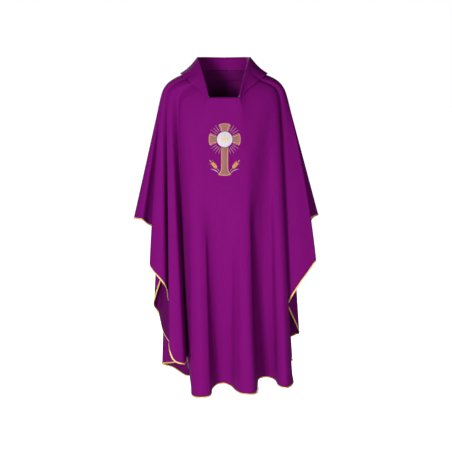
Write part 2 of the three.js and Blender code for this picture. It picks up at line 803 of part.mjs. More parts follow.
/** An ear of wheat on its stalk, growing up and outwards to one side. */
function wheatEar(side) {
  const height = stalkLength + earLength;
  const stalk = stitched(new THREE.Shape([
    new THREE.Vector2(-stalkWidth / 2, 0), new THREE.Vector2(stalkWidth / 2, 0),
    new THREE.Vector2(stalkWidth / 2, height - grainLength / 2),
    new THREE.Vector2(-stalkWidth / 2, height - grainLength / 2),
  ]), stitchHeight);
  const tip = stitched(ellipseShape(grainLength, grainWidth), stitchHeight);
  const grains = [tip.translate(0, height - grainLength / 2, 0)];
  for (let i = 0; i < grainPairs; i++) {
    const up = lerp(stalkLength + grainLength / 2, height - grainLength, i / grainPairs);
    for (const way of [-1, 1]) {
      const grain = stitched(ellipseShape(grainLength, grainWidth), stitchHeight);
      grains.push(grain.rotateZ(-way * grainSplay).translate(way * grainOffset, up, 0));
    }
  }
  const whole = joined([stalk, ...grains]);
  return whole.rotateZ(-side * earLean).translate(side * earFoot.x, earFoot.y, 0);
}

/** A narrow leaf that leaves the foot of the shaft and levels out beside it. */
function leaf(side) {
  const shape = new THREE.Shape();
  shape.moveTo(0, 0);
  shape.quadraticCurveTo(leafReach * 0.45, leafRise * 0.95, leafReach, leafRise);
  shape.quadraticCurveTo(leafReach * 0.5, leafRise * 0.95 - 2 * leafWidth, 2, -1);
  const geometry = stitched(shape, fillHeight);
  if (side < 0) geometry.scale(-1, 1, 1);
  return pointOutwards(geometry.translate(side * leafFoot.x, leafFoot.y, 0));
}

piece("left_wheat_ear", wheatEar(1), goldSatin, chest);
piece("right_wheat_ear", wheatEar(-1), goldSatin, chest);
piece("left_leaf", leaf(1), silverThread, chest);
piece("right_leaf", leaf(-1), silverThread, chest);

// The stabiliser stays inside, behind the stitches.
function backing() {
  const top = crossRise + backingMargin;
  const foot = -crossFoot + backingMargin;
  const half = crossReach + backingMargin;
  const shape = new THREE.Shape([
    new THREE.Vector2(-half, -half), new THREE.Vector2(-footFlare / 2, foot),
    new THREE.Vector2(footFlare / 2, foot), new THREE.Vector2(half, -half),
    new THREE.Vector2(half, half * 0.4), new THREE.Vector2(armFlare / 2, top),
    new THREE.Vector2(-armFlare / 2, top), new THREE.Vector2(-half, half * 0.4),
  ]);
  return stitched(shape, interfacing, -(cloth / 2 + seamGap + interfacing));
}

piece("embroidery_backing", backing(), paleInterfacing, chest);

export default chasuble;
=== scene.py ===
"""A chasuble as it hangs from a pair of shoulders, built piece by piece on its frame.

Metres, +Z up, the front faces -Y, and the origin is the middle of the neck.
"""
import math

import bmesh
import bpy
import numpy as np
from bpy.props import FloatProperty, FloatVectorProperty, PointerProperty
from mathutils import Matrix, Vector


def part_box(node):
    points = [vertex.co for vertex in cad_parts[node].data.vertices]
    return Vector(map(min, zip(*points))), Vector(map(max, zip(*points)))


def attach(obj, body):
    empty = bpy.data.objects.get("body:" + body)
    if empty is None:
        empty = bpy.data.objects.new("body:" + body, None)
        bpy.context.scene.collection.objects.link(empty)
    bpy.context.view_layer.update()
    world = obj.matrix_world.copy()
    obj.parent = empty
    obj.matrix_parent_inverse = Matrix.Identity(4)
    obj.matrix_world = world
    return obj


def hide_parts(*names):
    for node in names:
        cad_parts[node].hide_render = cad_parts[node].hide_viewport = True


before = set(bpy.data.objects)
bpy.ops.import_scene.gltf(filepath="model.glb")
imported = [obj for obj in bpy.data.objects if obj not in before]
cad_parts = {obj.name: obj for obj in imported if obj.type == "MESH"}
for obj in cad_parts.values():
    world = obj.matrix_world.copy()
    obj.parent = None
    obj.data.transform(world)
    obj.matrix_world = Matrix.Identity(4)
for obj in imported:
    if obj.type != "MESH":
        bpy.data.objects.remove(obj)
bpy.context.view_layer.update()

bl_info = {
    "name": "Draped Chasuble",
    "version": (1, 0, 0),
    "blender": (4, 5, 0),
    "location": "3D View > Sidebar > Vestment",
    "description": "Builds a draped, embroidered chasuble and a plain studio for it",
    "category": "Add Mesh",
}

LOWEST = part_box("front_hem_binding")[0][2]

# Each row is one ridge, valley or flank of the drape, from the wearer's right sleeve
# tip to the left one: its place on the shoulder contour (-1 to 1), how far the pleat
# is already pressed out (+) or in (-) there in metres, then where its hem hangs,
# sideways, forwards and down, as a share of the hem's own sizes. The last value bows
# the hanging line sideways, in metres at its middle.
FRONT_FOLDS = [
    # sleeve tip, sleeve face and the hollow behind it
    (-1, 0, -1, 0, 0.458, 0),
    (-0.98, 0, -0.9, 0.15, 0.459, 0),
    (-0.955, -0.008, -0.835, -0.04, 0.48, 0),
    (-0.93, -0.02, -0.7, -0.16, 0.505, 0),
    # outer side fold
    (-0.905, -0.004, -0.71, 0.25, 0.56, 0),
    (-0.88, 0.004, -0.805, 0.5, 0.589, -0.004),
    (-0.85, 0.005, -0.64, 0.67, 0.648, 0),
    (-0.822, -0.026, -0.612, 0, 0.735, 0),
    (-0.805, -0.026, -0.55, -0.01, 0.755, 0),
    # inner side fold
    (-0.78, 0.003, -0.595, 0.78, 0.845, 0),
    (-0.745, 0.004, -0.53, 0.87, 0.885, 0),
    (-0.72, 0, -0.435, 0.84, 0.896, 0),
    (-0.7, -0.024, -0.42, 0.22, 0.908, 0),
    # flank and column on the wearer's right
    (-0.6, -0.008, -0.38, 0.46, 0.957, 0),
    (-0.47, -0.004, -0.36, 0.65, 0.985, 0),
    (-0.36, 0, -0.345, 0.84, 1, 0),
    (-0.28, 0, -0.25, 0.985, 0.998, 0),
    (-0.21, 0, -0.15, 0.93, 0.995, 0),
    (-0.17, 0, -0.125, 0.7, 0.985, 0),
    # hollow at the centre
    (-0.1, 0, -0.07, 0.56, 0.98, 0),
    (0, 0, 0.005, 0.53, 0.98, 0),
    (0.08, 0, 0.075, 0.6, 0.983, 0),
    # column on the wearer's left, and the hollow beside it
    (0.13, 0, 0.135, 0.8, 0.987, 0),
    (0.18, 0, 0.205, 0.97, 0.986, -0.003),
    (0.23, 0, 0.31, 1, 0.986, -0.006),
    (0.265, 0, 0.365, 0.9, 0.985, -0.008),
    (0.305, -0.006, 0.385, 0.5, 0.967, -0.008),
    (0.43, -0.008, 0.47, 0.36, 0.968, -0.004),
    (0.55, -0.003, 0.56, 0.5, 0.968, 0),
    # column at the side
    (0.62, 0, 0.605, 0.76, 0.973, 0),
    (0.68, 0.003, 0.68, 0.84, 0.975, 0),
    (0.725, 0.003, 0.745, 0.72, 0.973, 0),
    (0.75, 0, 0.768, 0.48, 0.968, -0.018),
    (0.775, -0.026, 0.645, -0.05, 0.875, -0.022),
    (0.79, -0.026, 0.69, -0.02, 0.84, -0.024),
    # outer side fold
    (0.82, 0.003, 0.7, 0.45, 0.72, -0.018),
    (0.86, 0.006, 0.82, 0.5, 0.655, 0),
    (0.885, 0.004, 0.955, 0.45, 0.6, 0.008),
    (0.9, 0.002, 1.002, 0.42, 0.578, 0.011),
    (0.915, -0.006, 0.93, 0.22, 0.555, 0.005),
    (0.93, -0.016, 0.77, -0.06, 0.522, 0),
    # hollow, sleeve face and sleeve tip
    (0.955, -0.004, 0.86, 0.06, 0.472, 0),
    (0.98, 0, 0.942, 0.14, 0.455, 0),
    (1, 0, 1.045, 0, 0.447, 0),
]

BACK_FOLDS = [
    # sleeve tip and the hollow behind it
    (-1, 0, -1, 0, 0.458, 0),
    (-0.98, 0, -0.92, 0.24, 0.47, 0),
    (-0.95, -0.004, -0.745, 0.25, 0.51, 0),
    (-0.92, -0.008, -0.6, 0.205, 0.575, 0),
    # side folds on the wearer's right
    (-0.88, 0.002, -0.74, 0.4, 0.68, 0),
    (-0.84, 0.004, -0.816, 0.51, 0.765, 0),
    (-0.815, 0.004, -0.77, 0.64, 0.8, 0),
    (-0.79, -0.002, -0.7, 0.42, 0.86, 0),
    (-0.77, -0.008, -0.51, 0.16, 0.935, 0),
    (-0.735, 0.002, -0.735, 0.7, 0.985, 0),
    (-0.69, -0.002, -0.6, 0.46, 0.984, 0),
    (-0.65, -0.004, -0.42, 0.2, 0.998, 0),
    (-0.58, -0.002, -0.38, 0.6, 0.985, 0),
    # columns and hollow of the back
    (-0.48, 0.003, -0.26, 0.96, 1, 0),
    (-0.33, 0.002, -0.13, 0.88, 0.996, 0),
    (-0.15, 0, -0.03, 0.6, 0.99, 0),
    (0, 0, 0.08, 0.66, 0.99, 0),
    (0.17, 0.002, 0.18, 0.95, 0.996, 0),
    (0.35, 0.002, 0.3, 0.93, 0.994, 0),
    (0.5, -0.003, 0.38, 0.55, 0.98, 0),
    # side folds on the wearer's left
    (0.62, 0.002, 0.55, 0.9, 0.982, 0),
    (0.68, 0.003, 0.7, 0.88, 0.98, 0),
    (0.73, 0.002, 0.812, 0.74, 0.975, 0),
    (0.78, -0.008, 0.655, 0.28, 0.89, 0),
    (0.82, 0.003, 0.845, 0.6, 0.875, 0),
    (0.86, 0.004, 0.877, 0.48, 0.862, 0),
    (0.895, -0.008, 0.68, 0.2, 0.69, 0),
    # hollow behind the sleeve, and sleeve tip
    (0.93, 0.002, 0.84, 0.27, 0.58, 0),
    (0.955, -0.002, 0.93, 0.25, 0.5, 0),
    (0.98, 0, 0.99, 0.15, 0.462, 0),
    (1, 0, 1.045, 0, 0.447, 0),
]

# Where the cloth leaves the body: place from the centre to the sleeve edge, share
# sideways, share forwards, share of the way down from the sleeve edge to the chest.
CONTOUR = [
    (0, 0, 1, 1),
    (0.22, 0.33, 0.965, 0.849),
    (0.42, 0.55, 0.84, 0.421),
    (0.6, 0.72, 0.61, 0.079),
    (0.72, 0.82, 0.455, -0.02),
    (0.86, 0.945, 0.23, -0.033),
    (1, 1, 0, 0),
]

PANEL_COLUMNS = 330
YOKE_ROWS = 44
HANG_ROWS = 66
SEAM_GAP = 0.0003  # between the two panels at a shoulder seam
LAY_GAP = 0.0006  # from the middle of a panel to the face of what lies on it

NECK_CORNER = 0.3  # place on the front neckline where the straight edge ends
NECK_DIP = 1.6  # how soon the neckline dips from the shoulder to that edge
CHEST_FLAT = (0.34, 0.5)  # places between which the flat chest turns round
CROWN = (0.35, 0.95)  # places between which the shoulder's crown rises
CROWN_NEAR = (-0.003, 0.03)  # out and up, a third of the way to the contour
CROWN_FAR = (0.049, 0.052)  # out and up, two thirds of the way

TURN_ROWS = 9.0  # rows over which the cloth softens where it leaves the body
TURN_PASSES = 60
CHEST_PASSES = 130
CHEST_EDGE = (0.45, 0.6)  # places between which the chest's softening fades
CHEST_TOP = (0.08, 0.2)  # shares down between which it sets in
CHEST_FOOT = (0.5, 0.66)  # and between which it fades

WAVE_HEIGHT = 0.0022
WAVE_TOP = (0.2, 0.8)  # shares down between which the small waves set in
WAVE_EDGE = (0.96, 0.99)  # places between which they fade at the sleeves
CALM_EDGE = (0.2, 0.45)  # places between which the chest has none
CALM_FOOT = (0.55, 0.7)  # shares down between which it takes them again

SLEEVE_FAN = math.radians(84)  # turn of the thread line from the centre to the sleeve

SMALL_SHARE = 1e-3  # step in share for a slope
UP = np.array([0, 0, 1.0])


# ------------------------------------------------------------------ what a user sets


def length_of(label, description, default, low=0.0, high=3.0):
    """A size that a user can change, in metres."""
    return FloatProperty(name=label, description=description, default=default,
                         min=low, max=high, unit="LENGTH", subtype="DISTANCE")


def colour_of(label, description, default):
    """A colour that a user can change."""
    return FloatVectorProperty(name=label, description=description, default=default,
                               size=3, min=0.0, max=1.0, subtype="COLOR")


class ChasubleSizes(bpy.types.PropertyGroup):
    neck_half_width: length_of("Neck Half Width", "Neckline at the top of the shoulder", 0.09)
    neck_front_half_width: length_of("Front Edge", "Half the straight edge in front", 0.058)
    neck_front_drop: length_of("Neck Drop", "Shoulder seam down to the front edge", 0.097)
    neck_front_reach: length_of("Front Reach", "Neck axis to the front edge", 0.135)
    neck_back_reach: length_of("Back Reach", "Neck axis to the centre back", 0.082)
    neck_side_height: length_of("Seam Height", "Shoulder seam above the origin", 0.006)
    shoulder_reach: length_of("Shoulder Reach", "Neck axis to the hanging sleeve edge", 0.25)
    shoulder_drop: length_of("Shoulder Drop", "Origin down to that point", 0.108)
    yoke_depth: length_of("Yoke Depth", "Origin down to where the chest hangs free", 0.45)
    chest_reach: length_of("Chest Reach", "Neck axis to the chest there", 0.168)
    hem_spread: length_of("Hem Spread", "Neck axis to the sleeve tip", 0.359)
    garment_drop: length_of("Garment Drop", "Origin down to the lowest hem", 1.245)
    hem_depth: length_of("Hem Depth", "Neck axis to the foremost fold", 0.222)
    cloth: length_of("Cloth", "Thickness of the main cloth", 0.0009, high=0.003)
    binding: length_of("Binding", "Height of the satin edge", 0.0062, high=0.02)
    facing: length_of("Facing", "Depth of the neck facing", 0.042, high=0.1)
    collar_stand: length_of("Collar Stand", "Seam to the roll at the side", 0.052, high=0.1)
    collar_fall: length_of("Collar Fall", "Breadth of the turned-down part", 0.078, high=0.2)
    thread: length_of("Thread", "Width of one embroidery thread", 0.00045, high=0.002)


class ChasubleColours(bpy.types.PropertyGroup):
    cloth: colour_of("Cloth", "Face of the main cloth", (0.182, 0.0022, 0.151))
    # Darker than the face: partly the reverse's own duller tone and partly painted shade for
    # the inner faces, which sit in shade.
    reverse: colour_of("Reverse", "Reverse of the main cloth", (0.115, 0.0016, 0.096))
    satin: colour_of("Satin", "Edge binding", (0.95, 0.62, 0.2))
    border: colour_of("Border Thread", "Borders of the cross", (0.78, 0.4, 0.15))
    field: colour_of("Field Thread", "Fields of the cross", (0.36, 0.135, 0.125))
    host: colour_of("Host Thread", "Host and its ring", (0.78, 0.72, 0.8))
    motif: colour_of("Motif Thread", "Motif on the host", (0.84, 0.66, 0.28))
    ray: colour_of("Ray Thread", "Rays", (0.8, 0.42, 0.46))
    wheat: colour_of("Wheat Thread", "Ears of wheat", (0.78, 0.4, 0.07))
    leaf: colour_of("Leaf Thread", "Leaves", (0.62, 0.56, 0.68))
    lining: colour_of("Interlining", "Tapes and interfacing", (0.79, 0.74, 0.67))


# ------------------------------------------------------------------ curves and drape


def smoothstep(value, low, high):
    """0 below low, 1 above high, and smooth between."""
    share = np.clip((value - low) / (high - low), 0, 1)
    return share * share * (3 - 2 * share)


def unit(vectors):
    """The same directions at length one."""
    return vectors / np.linalg.norm(vectors, axis=-1, keepdims=True)


def run_along(points):
    """The length walked from the first point to each point."""
    steps = np.linalg.norm(np.diff(points, axis=0), axis=-1)
    return np.concatenate([np.zeros((1, *steps.shape[1:])), np.cumsum(steps, axis=0)])


def curve_between(a, b, c, d, share):
    """A place between b and c on the centripetal curve through a, b, c and d."""
    def step(p, q):
        return np.maximum(np.sqrt(np.linalg.norm(q - p, axis=1)), 1e-5)[:, None]

    t1 = step(a, b)
    t2 = t1 + step(b, c)
    t3 = t2 + step(c, d)
    t = t1 + (t2 - t1) * share
    ab = a + (b - a) * t / t1
    bc = b + (c - b) * (t - t1) / (t2 - t1)
    cd = c + (d - c) * (t - t2) / (t3 - t2)
    abc = ab + (bc - ab) * t / t2
    bcd = bc + (cd - bc) * (t - t1) / (t3 - t1)
    return abc + (bcd - abc) * (t - t1) / (t2 - t1)


def smooth_curve(points, knots, at):
    """A smooth curve through points, which have one extra point at each end."""
    i = np.clip(np.searchsorted(knots, at, side="right") - 1, 0, len(knots) - 2)
    share = ((at - knots[i]) / (knots[i + 1] - knots[i]))[:, None]
    return curve_between(*(points[i + k] for k in range(4)), share)


def seam_to_seam(points):
    """Adds the end points that make a curve leave the shoulder seam square to it."""
    flip = np.array([1, -1, 1])
    return np.vstack([points[1] * flip, points, points[-2] * flip])


class Drape:
    """The front or the back panel as a surface: share across and share down."""

    def __init__(self, sizes, folds, facing):
        self.sizes, self.facing = sizes, facing
        rows = np.array(folds, dtype=float)
        self.places = rows[:, 0]
        self.bows = rows[:, 5]
        self.knots = np.arange(len(rows), dtype=float)
        leaves = self.contour_point(self.places)
        leaves += self.outward(leaves) * rows[:, 1:2]
        hem = rows[:, 2:5] * (sizes.hem_spread, sizes.hem_depth, -sizes.garment_drop)
        turn = np.array([1, facing, 1])
        self.contour = seam_to_seam(leaves * turn)
        self.hem = seam_to_seam(hem * turn)

    @staticmethod
    def outward(points):
        """The level way from the neck's axis through each point."""
        flat = points * (1, 1, 0)
        return flat / np.maximum(np.linalg.norm(flat, axis=1), 1e-9)[:, None]

    def chest_forward(self, height):
        """The chest is flat across the middle: how far forward it is at a height."""
        s = self.sizes
        top = s.neck_side_height - s.neck_front_drop
        slope = (s.chest_reach - s.neck_front_reach) / (s.yoke_depth + top)
        return s.neck_front_reach + slope * (top - height)

    def contour_point(self, places):
        """Where the cloth leaves the body, for places from sleeve to sleeve."""
        s = self.sizes
        forms = np.array(CONTOUR, dtype=float)
        points = np.column_stack([
            forms[:, 1] * s.shoulder_reach,
            forms[:, 2] * s.chest_reach,
            -(s.shoulder_drop + forms[:, 3] * (s.yoke_depth - s.shoulder_drop)),
        ])
        ends = [points[1] * (-1, 1, 1), points, points[-2] * (1, -1, 1)]
        found = smooth_curve(np.vstack(ends), forms[:, 0], np.abs(places))
        flat = 1 - smoothstep(np.abs(places), *CHEST_FLAT)
        found[:, 1] += flat * (self.chest_forward(found[:, 2]) - found[:, 1])
        found[:, 0] *= np.sign(places)
        return found

    def neck_point(self, places):
        """The neckline: round at the back, with a straight edge in front."""
        s = self.sizes
        round_ = np.abs(places)
        if self.facing > 0:
            turn = round_ * math.pi / 2
            x = s.neck_half_width * np.sin(turn)
            forward = s.neck_back_reach * np.cos(turn)
            height = np.full_like(x, s.neck_side_height)
        else:
            rise = np.clip((round_ - NECK_CORNER) / (1 - NECK_CORNER), 0, 1) * math.pi / 2
            wide = s.neck_front_half_width
            dip = np.maximum(np.cos(rise), 0) ** NECK_DIP
            x = wide * np.minimum(round_ / NECK_CORNER, 1)
            x += (s.neck_half_width - wide) * (1 - dip)
            forward = s.neck_front_reach * np.cos(rise)
            height = s.neck_side_height - s.neck_front_drop * dip
        return np.column_stack([np.sign(places) * x, forward, height])

    def surface(self, across, down):
        """Points of the panel for pairs of shares."""
        across, down = np.broadcast_arrays(np.asarray(across, float), np.asarray(down, float))
        where = np.clip(across, 0, 1) * (len(self.knots) - 1)
        places = np.interp(where, self.knots, self.places)
        turn = np.array([1, self.facing, 1])
        neck = self.neck_point(places) * turn
        leaves = smooth_curve(self.contour, self.knots, where)
        hem = smooth_curve(self.hem, self.knots, where)
        crown = smoothstep(np.abs(places), *CROWN)[:, None]
        out = self.outward(leaves)
        near = neck + (leaves - neck) / 3 + crown * (out * CROWN_NEAR[0] + UP * CROWN_NEAR[1])
        far = neck + (leaves - neck) * 2 / 3 + crown * (out * CROWN_FAR[0] + UP * CROWN_FAR[1])
        w = np.clip(down * 2, 0, 1)[:, None]
        yoke = (neck * (1 - w) ** 3 + near * 3 * w * (1 - w) ** 2
                + far * 3 * w * w * (1 - w) + leaves * w ** 3)
        f = np.clip(down * 2 - 1, 0, 1)[:, None]
        i = np.clip(where.astype(int), 0, len(self.knots) - 2)
        share = smoothstep(where - i, 0, 1)
        bow = (self.bows[i] * (1 - share) + self.bows[i + 1] * share)[:, None]
        hang = leaves + (hem - leaves) * f + 4 * f * (1 - f) * bow * (1, 0, 0)
        return np.where(down[:, None] < 0.5, yoke, hang)

    def normal(self, across, down):
        """The way off the outer face, level with the seam at both shoulder edges."""
        small = SMALL_SHARE
        across, down = np.broadcast_arrays(np.asarray(across, float), np.asarray(down, float))
        low = np.clip(down, small, 1 - small)
        side = self.surface(across + small, low) - self.surface(across - small, low)
        fall = self.surface(across, low + small) - self.surface(across, low - small)
        found = np.cross(side, fall) * self.facing
        found[(across <= 0) | (across >= 1), 1] = 0
        return unit(found)

    def layer(self, across, down, offset):
        """A layer of cloth that follows the panel at a distance, outwards positive."""
        points = self.surface(across, down) + self.normal(across, down) * offset
        points[:, 1] += self.facing * SEAM_GAP / 2
        return points

    def across_at(self, place):
        """The share across at which a fold's place on the contour lies."""
        return np.interp(place, self.places, self.knots) / (len(self.knots) - 1)

    def reach(self, across, length):
        """The share down that is a length below the neckline."""
        span = np.linalg.norm(self.surface(across, 0.5) - self.surface(across, 0), axis=1)
        return length / span * 0.5


def soft_undulation(across, down):
    """Small uneven waves that a hanging cloth keeps, between about -1 and 1.

    Each wave has its turns across and down, and where it starts.
    """
    waves = ((5.3, 0.6, 0.4), (8.9, -0.9, 2.1), (14.2, 1.7, 4.4), (23.7, -1.2, 1.3))
    total = sum(np.sin(2 * math.pi * (a * across + b * down) + c) / (k + 1)
                for k, (a, b, c) in enumerate(waves))
    return total / 1.6


def soften(rows, passes, weight):
    """Draws each row towards the middle of its neighbours, pass after pass."""
    for _ in range(passes):
        middle = (rows[:-2] + rows[2:]) / 2
        rows[1:-1] += 0.5 * weight[1:-1] * (middle - rows[1:-1])


def draped_grid(drape, columns, rows_above, rows_below):
    """The whole panel as rows of points, softened at the contour and on the chest."""
    down = np.concatenate([np.linspace(0, 0.5, rows_above + 1),
                           np.linspace(0.5, 1, rows_below + 1)[1:]])
    across = np.linspace(0, 1, columns + 1)
    grid_across, grid_down = (g.ravel() for g in np.meshgrid(across, down))
    points = drape.layer(grid_across, grid_down, 0).reshape(len(down), -1, 3)
    turn = np.exp(-((np.arange(len(down)) - rows_above) / TURN_ROWS) ** 2)
    soften(points, TURN_PASSES, turn[:, None, None])
    normals = drape.normal(grid_across, grid_down).reshape(points.shape)
    place = np.interp(grid_across, np.linspace(0, 1, len(drape.places)), drape.places)
    chest = ((1 - smoothstep(np.abs(place), *CHEST_EDGE)) * smoothstep(grid_down, *CHEST_TOP)
             * (1 - smoothstep(grid_down, *CHEST_FOOT))).reshape(len(down), -1, 1)
    soften(points.swapaxes(0, 1), CHEST_PASSES, chest.swapaxes(0, 1))
    loose = smoothstep(grid_down, *WAVE_TOP) * (1 - smoothstep(np.abs(place), *WAVE_EDGE))
    calm = (1 - smoothstep(np.abs(place), *CALM_EDGE)) * (
        1 - smoothstep(grid_down, *CALM_FOOT))
    wave = soft_undulation(grid_across, grid_down) * loose * (1 - calm)
    points += normals * (WAVE_HEIGHT * wave).reshape(len(down), -1, 1)
    return across, points


def flat_pattern(points, places, neck):
    """Where each point of a draped grid lay on the flat cloth, in metres."""
    run = run_along(points)
    turn = places * SLEEVE_FAN
    u = neck[:, 0] + run * np.sin(turn)
    v = neck[:, 2] - run * np.cos(turn)
    return np.stack([u, v], axis=2)


# ------------------------------------------------------------------ making pieces


def piece_from(bm, name, material, nodes):
    """Turns a finished mesh into a piece that rides on the garment."""
    mesh = bpy.data.meshes.new(name)
    bm.to_mesh(mesh)
    bm.free()
    mesh.shade_smooth()
    mesh.materials.append(material)
    piece = bpy.data.objects.new(name, mesh)
    bpy.context.scene.collection.objects.link(piece)
    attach(piece, "root")
    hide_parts(*nodes)
    return piece


def bent_grid(columns, rows, place):
    """A flat grid bent into shape: place(column, row) gives points and flat places."""
    bm = bmesh.new()
    bmesh.ops.create_grid(bm, x_segments=columns, y_segments=rows, size=0.5)
    uv = bm.loops.layers.uv.new("Cloth")
    corners = np.array([vert.co for vert in bm.verts])
    column = np.rint((corners[:, 0] + 0.5) * columns).astype(int)
    row = np.rint((0.5 - corners[:, 1]) * rows).astype(int)
    points, flat = place(column, row)
    for vert, point in zip(bm.verts, points):
        vert.co = point
    bm.verts.index_update()
    for face in bm.faces:
        for loop in face.loops:
            loop[uv].uv = flat[loop.vert.index]
    return bm


def thicken(piece, thickness):
    """Gives a sheet its thickness, half on each side."""
    solid = piece.modifiers.new("Thickness", "SOLIDIFY")
    solid.thickness = thickness
    solid.offset = 0
    return piece


def panel_piece(context, name, drape, nodes):
    """One panel, with the face of the cloth outside and its reverse inside."""
    sizes = context.scene.chasuble_sizes
    across, points = draped_grid(drape, PANEL_COLUMNS, YOKE_ROWS, HANG_ROWS)
    places = np.interp(across, np.linspace(0, 1, len(drape.places)), drape.places)
    flat = flat_pattern(points, places, drape.surface(across, 0))

    def place(column, row):
        return points[row, column], flat[row, column]

    bm = bent_grid(PANEL_COLUMNS, YOKE_ROWS + HANG_ROWS, place)
    if drape.facing > 0:
        bmesh.ops.reverse_faces(bm, faces=bm.faces)
    piece = piece_from(bm, name, vestment_cloth(context), nodes)
    piece.data.materials.append(shaded_cloth_reverse(context))
    solid = thicken(piece, sizes.cloth).modifiers["Thickness"]
    solid.material_offset = 1
    return piece


def closed_tube(columns, around, place, loop=False):
    """A bent grid rolled into a tube, and closed at its ends or into a ring."""
    bm = bent_grid(columns, around, place)
    bmesh.ops.remove_doubles(bm, verts=bm.verts, dist=1e-7)
    if not loop:
        ends = [edge for edge in bm.edges if edge.is_boundary]
        bmesh.ops.holes_fill(bm, edges=ends, sides=0)
    bmesh.ops.recalc_face_normals(bm, faces=bm.faces)
    return bm


# ------------------------------------------------------------------ operators


def drapes(context):
    """The front and the back panel's surfaces."""
    sizes = context.scene.chasuble_sizes
    return Drape(sizes, FRONT_FOLDS, -1), Drape(sizes, BACK_FOLDS, 1)


class CHASUBLE_OT_panels(bpy.types.Operator):
    """Drapes the front and the back panel"""
    bl_idname = "chasuble.panels"
    bl_label = "Panels"

    def execute(self, context):
        front, back = drapes(context)
        panel_piece(context, "front_panel_drape", front, ["front_panel"])
        panel_piece(context, "back_panel_drape", back, ["back_panel"])
        return {"FINISHED"}


class CHASUBLE_OT_bindings(bpy.types.Operator):
    """Folds a satin binding over both hems"""
    bl_idname = "chasuble.bindings"
    bl_label = "Hem Bindings"

    columns, around = 900, 10
    half_thickness = 0.0016
    hang = 0.42  # share of its height by which its middle lies below the hem
    girth = 2.4  # the way round it, in heights
    puckers = ((0.06, 0.011, 0), (0.05, 0.0043, 1))  # height, length and start

    def execute(self, context):
        material = edge_satin(context)
        for name, drape in zip(("front", "back"), drapes(context)):
            self.binding(context, name, drape, material)
        return {"FINISHED"}

    def binding(self, context, name, drape, material):
        """A flattened, slightly puckered tube along one hem."""
        columns, around = self.columns, self.around
        height = context.scene.chasuble_sizes.binding
        across = np.linspace(0, 1, columns + 1)
        edge = drape.layer(across, 1, 0)
        off_face = drape.normal(across, 1)
        run = np.gradient(edge, axis=0)
        run[[0, -1]] = (0, 1, 0)
        run[[0, -1], 1] = np.sign(edge[[1, -1], 1] - edge[[0, -2], 1])
        below = unit(np.cross(unit(run), off_face) * -drape.facing)
        length = run_along(edge)
        turn = np.arange(around + 1) / around * 2 * math.pi
        centre = height * self.hang
        pinch = 1 + sum(tall * np.sin(length / long + start)
                        for tall, long, start in self.puckers)

        def place(column, row):
            angle = turn[row % around][:, None]
            puff = pinch[column][:, None]
            points = (edge[column]
                      + below[column] * (centre + np.cos(angle) * height / 2)
                      + off_face[column] * np.sin(angle) * self.half_thickness * puff)
            flat = np.column_stack([length[column], row / around * height * self.girth])
            return points, flat

        bm = closed_tube(columns, around, place)
        piece_from(bm, f"{name}_satin_edge", material, [f"{name}_hem_binding"])


class CHASUBLE_OT_neck(bpy.types.Operator):
    """Adds the neck facings and dresses the tapes under the shoulder seams"""
    bl_idname = "chasuble.neck"
    bl_label = "Neck Facings and Shoulder Tapes"

    columns, rows = 240, 6
    cloth = 0.0008
    neckline = 0.4  # length of a facing on the flat cloth

    def execute(self, context):
        sizes = context.scene.chasuble_sizes
        material = shaded_cloth_reverse(context)
        offset = -(LAY_GAP + SEAM_GAP + self.cloth / 2)
        columns, rows = self.columns, self.rows
        for name, drape in zip(("front", "back"), drapes(context)):
            across = np.linspace(0, 1, columns + 1)
            depth = drape.reach(across, sizes.facing)

            def place(column, row, drape=drape, across=across, depth=depth):
                share = row / rows
                points = drape.layer(across[column], depth[column] * share, offset)
                flat = np.column_stack([across[column] * self.neckline, -share * sizes.facing])
                return points, flat

            bm = bent_grid(columns, rows, place)
            bmesh.ops.recalc_face_normals(bm, faces=bm.faces)
            piece = piece_from(bm, f"{name}_facing_cloth", material,
                               [f"{name}_neck_facing"])
            thicken(piece, self.cloth)
        dress(context, "right_shoulder_tape", "left_shoulder_tape", "embroidery_backing")
        return {"FINISHED"}


def dress(context, *nodes):
    """Gives pieces that are right as they are their own material."""
    material = interlining(context)
    for node in nodes:
        mesh = bpy.data.objects[node].data
        mesh.materials.clear()
        mesh.materials.append(material)


class CHASUBLE_OT_collar(bpy.types.Operator):
    """Folds the three layers of the turned-down collar"""
    bl_idname = "chasuble.collar"
    bl_label = "Collar"

    stations, sections = 180, 48
    thinning = 0.45  # how much closer the layers lie at the free edge and the ends
    # piece, node, distance from the middle layer, thickness
    layers = (
        ("collar_face", "upper_collar", 0.00095, 0.0009),
        ("collar_core", "collar_interfacing", 0, 0.0005),
        ("collar_underside", "under_collar", -0.00095, 0.0009),
    )

    def execute(self, context):
        materials = {"upper_collar": (vestment_cloth(context), "vestment_cloth"),
                     "collar_interfacing": (interlining(context), "interlining"),
                     "under_collar": (shaded_cloth_reverse(context), "vestment_cloth")}
        stations, sections = self.stations, self.sections
        points, flat = collar_surface(context, stations, sections)
        along = np.gradient(points, axis=0)
        over = np.gradient(points, axis=1)
        normals = unit(np.cross(along, over))
        edge = 1 - self.thinning * smoothstep(np.linspace(0, 1, sections + 1), 0.9, 1)
        end = 1 - self.thinning * smoothstep(np.abs(np.linspace(-1, 1, stations + 1)), 0.96, 1)
        close = (end[:, None] * edge[None, :])[:, :, None]
        for name, node, offset, thickness in self.layers:
            moved = points + normals * offset * close
            if node == "collar_interfacing":
                moved = trimmed(moved)

            def place(column, row, moved=moved):
                return moved[column, row], flat[column, row]

            bm = bent_grid(stations, sections, place)
            bmesh.ops.recalc_face_normals(bm, faces=bm.faces)
            material, slot = materials[node]
            thicken(piece_from(bm, name, material, [node]), thickness)
        return {"FINISHED"}


def trimmed(points):
    """Draws a sheet's free edge and its two ends a little way in."""
    cut = points.copy()
    cut[:, -1] = points[:, -1] * 0.4 + points[:, -2] * 0.6
    cut[0] = cut[0] * 0.2 + cut[1] * 0.8
    cut[-1] = cut[-1] * 0.2 + cut[-2] * 0.8
    return cut


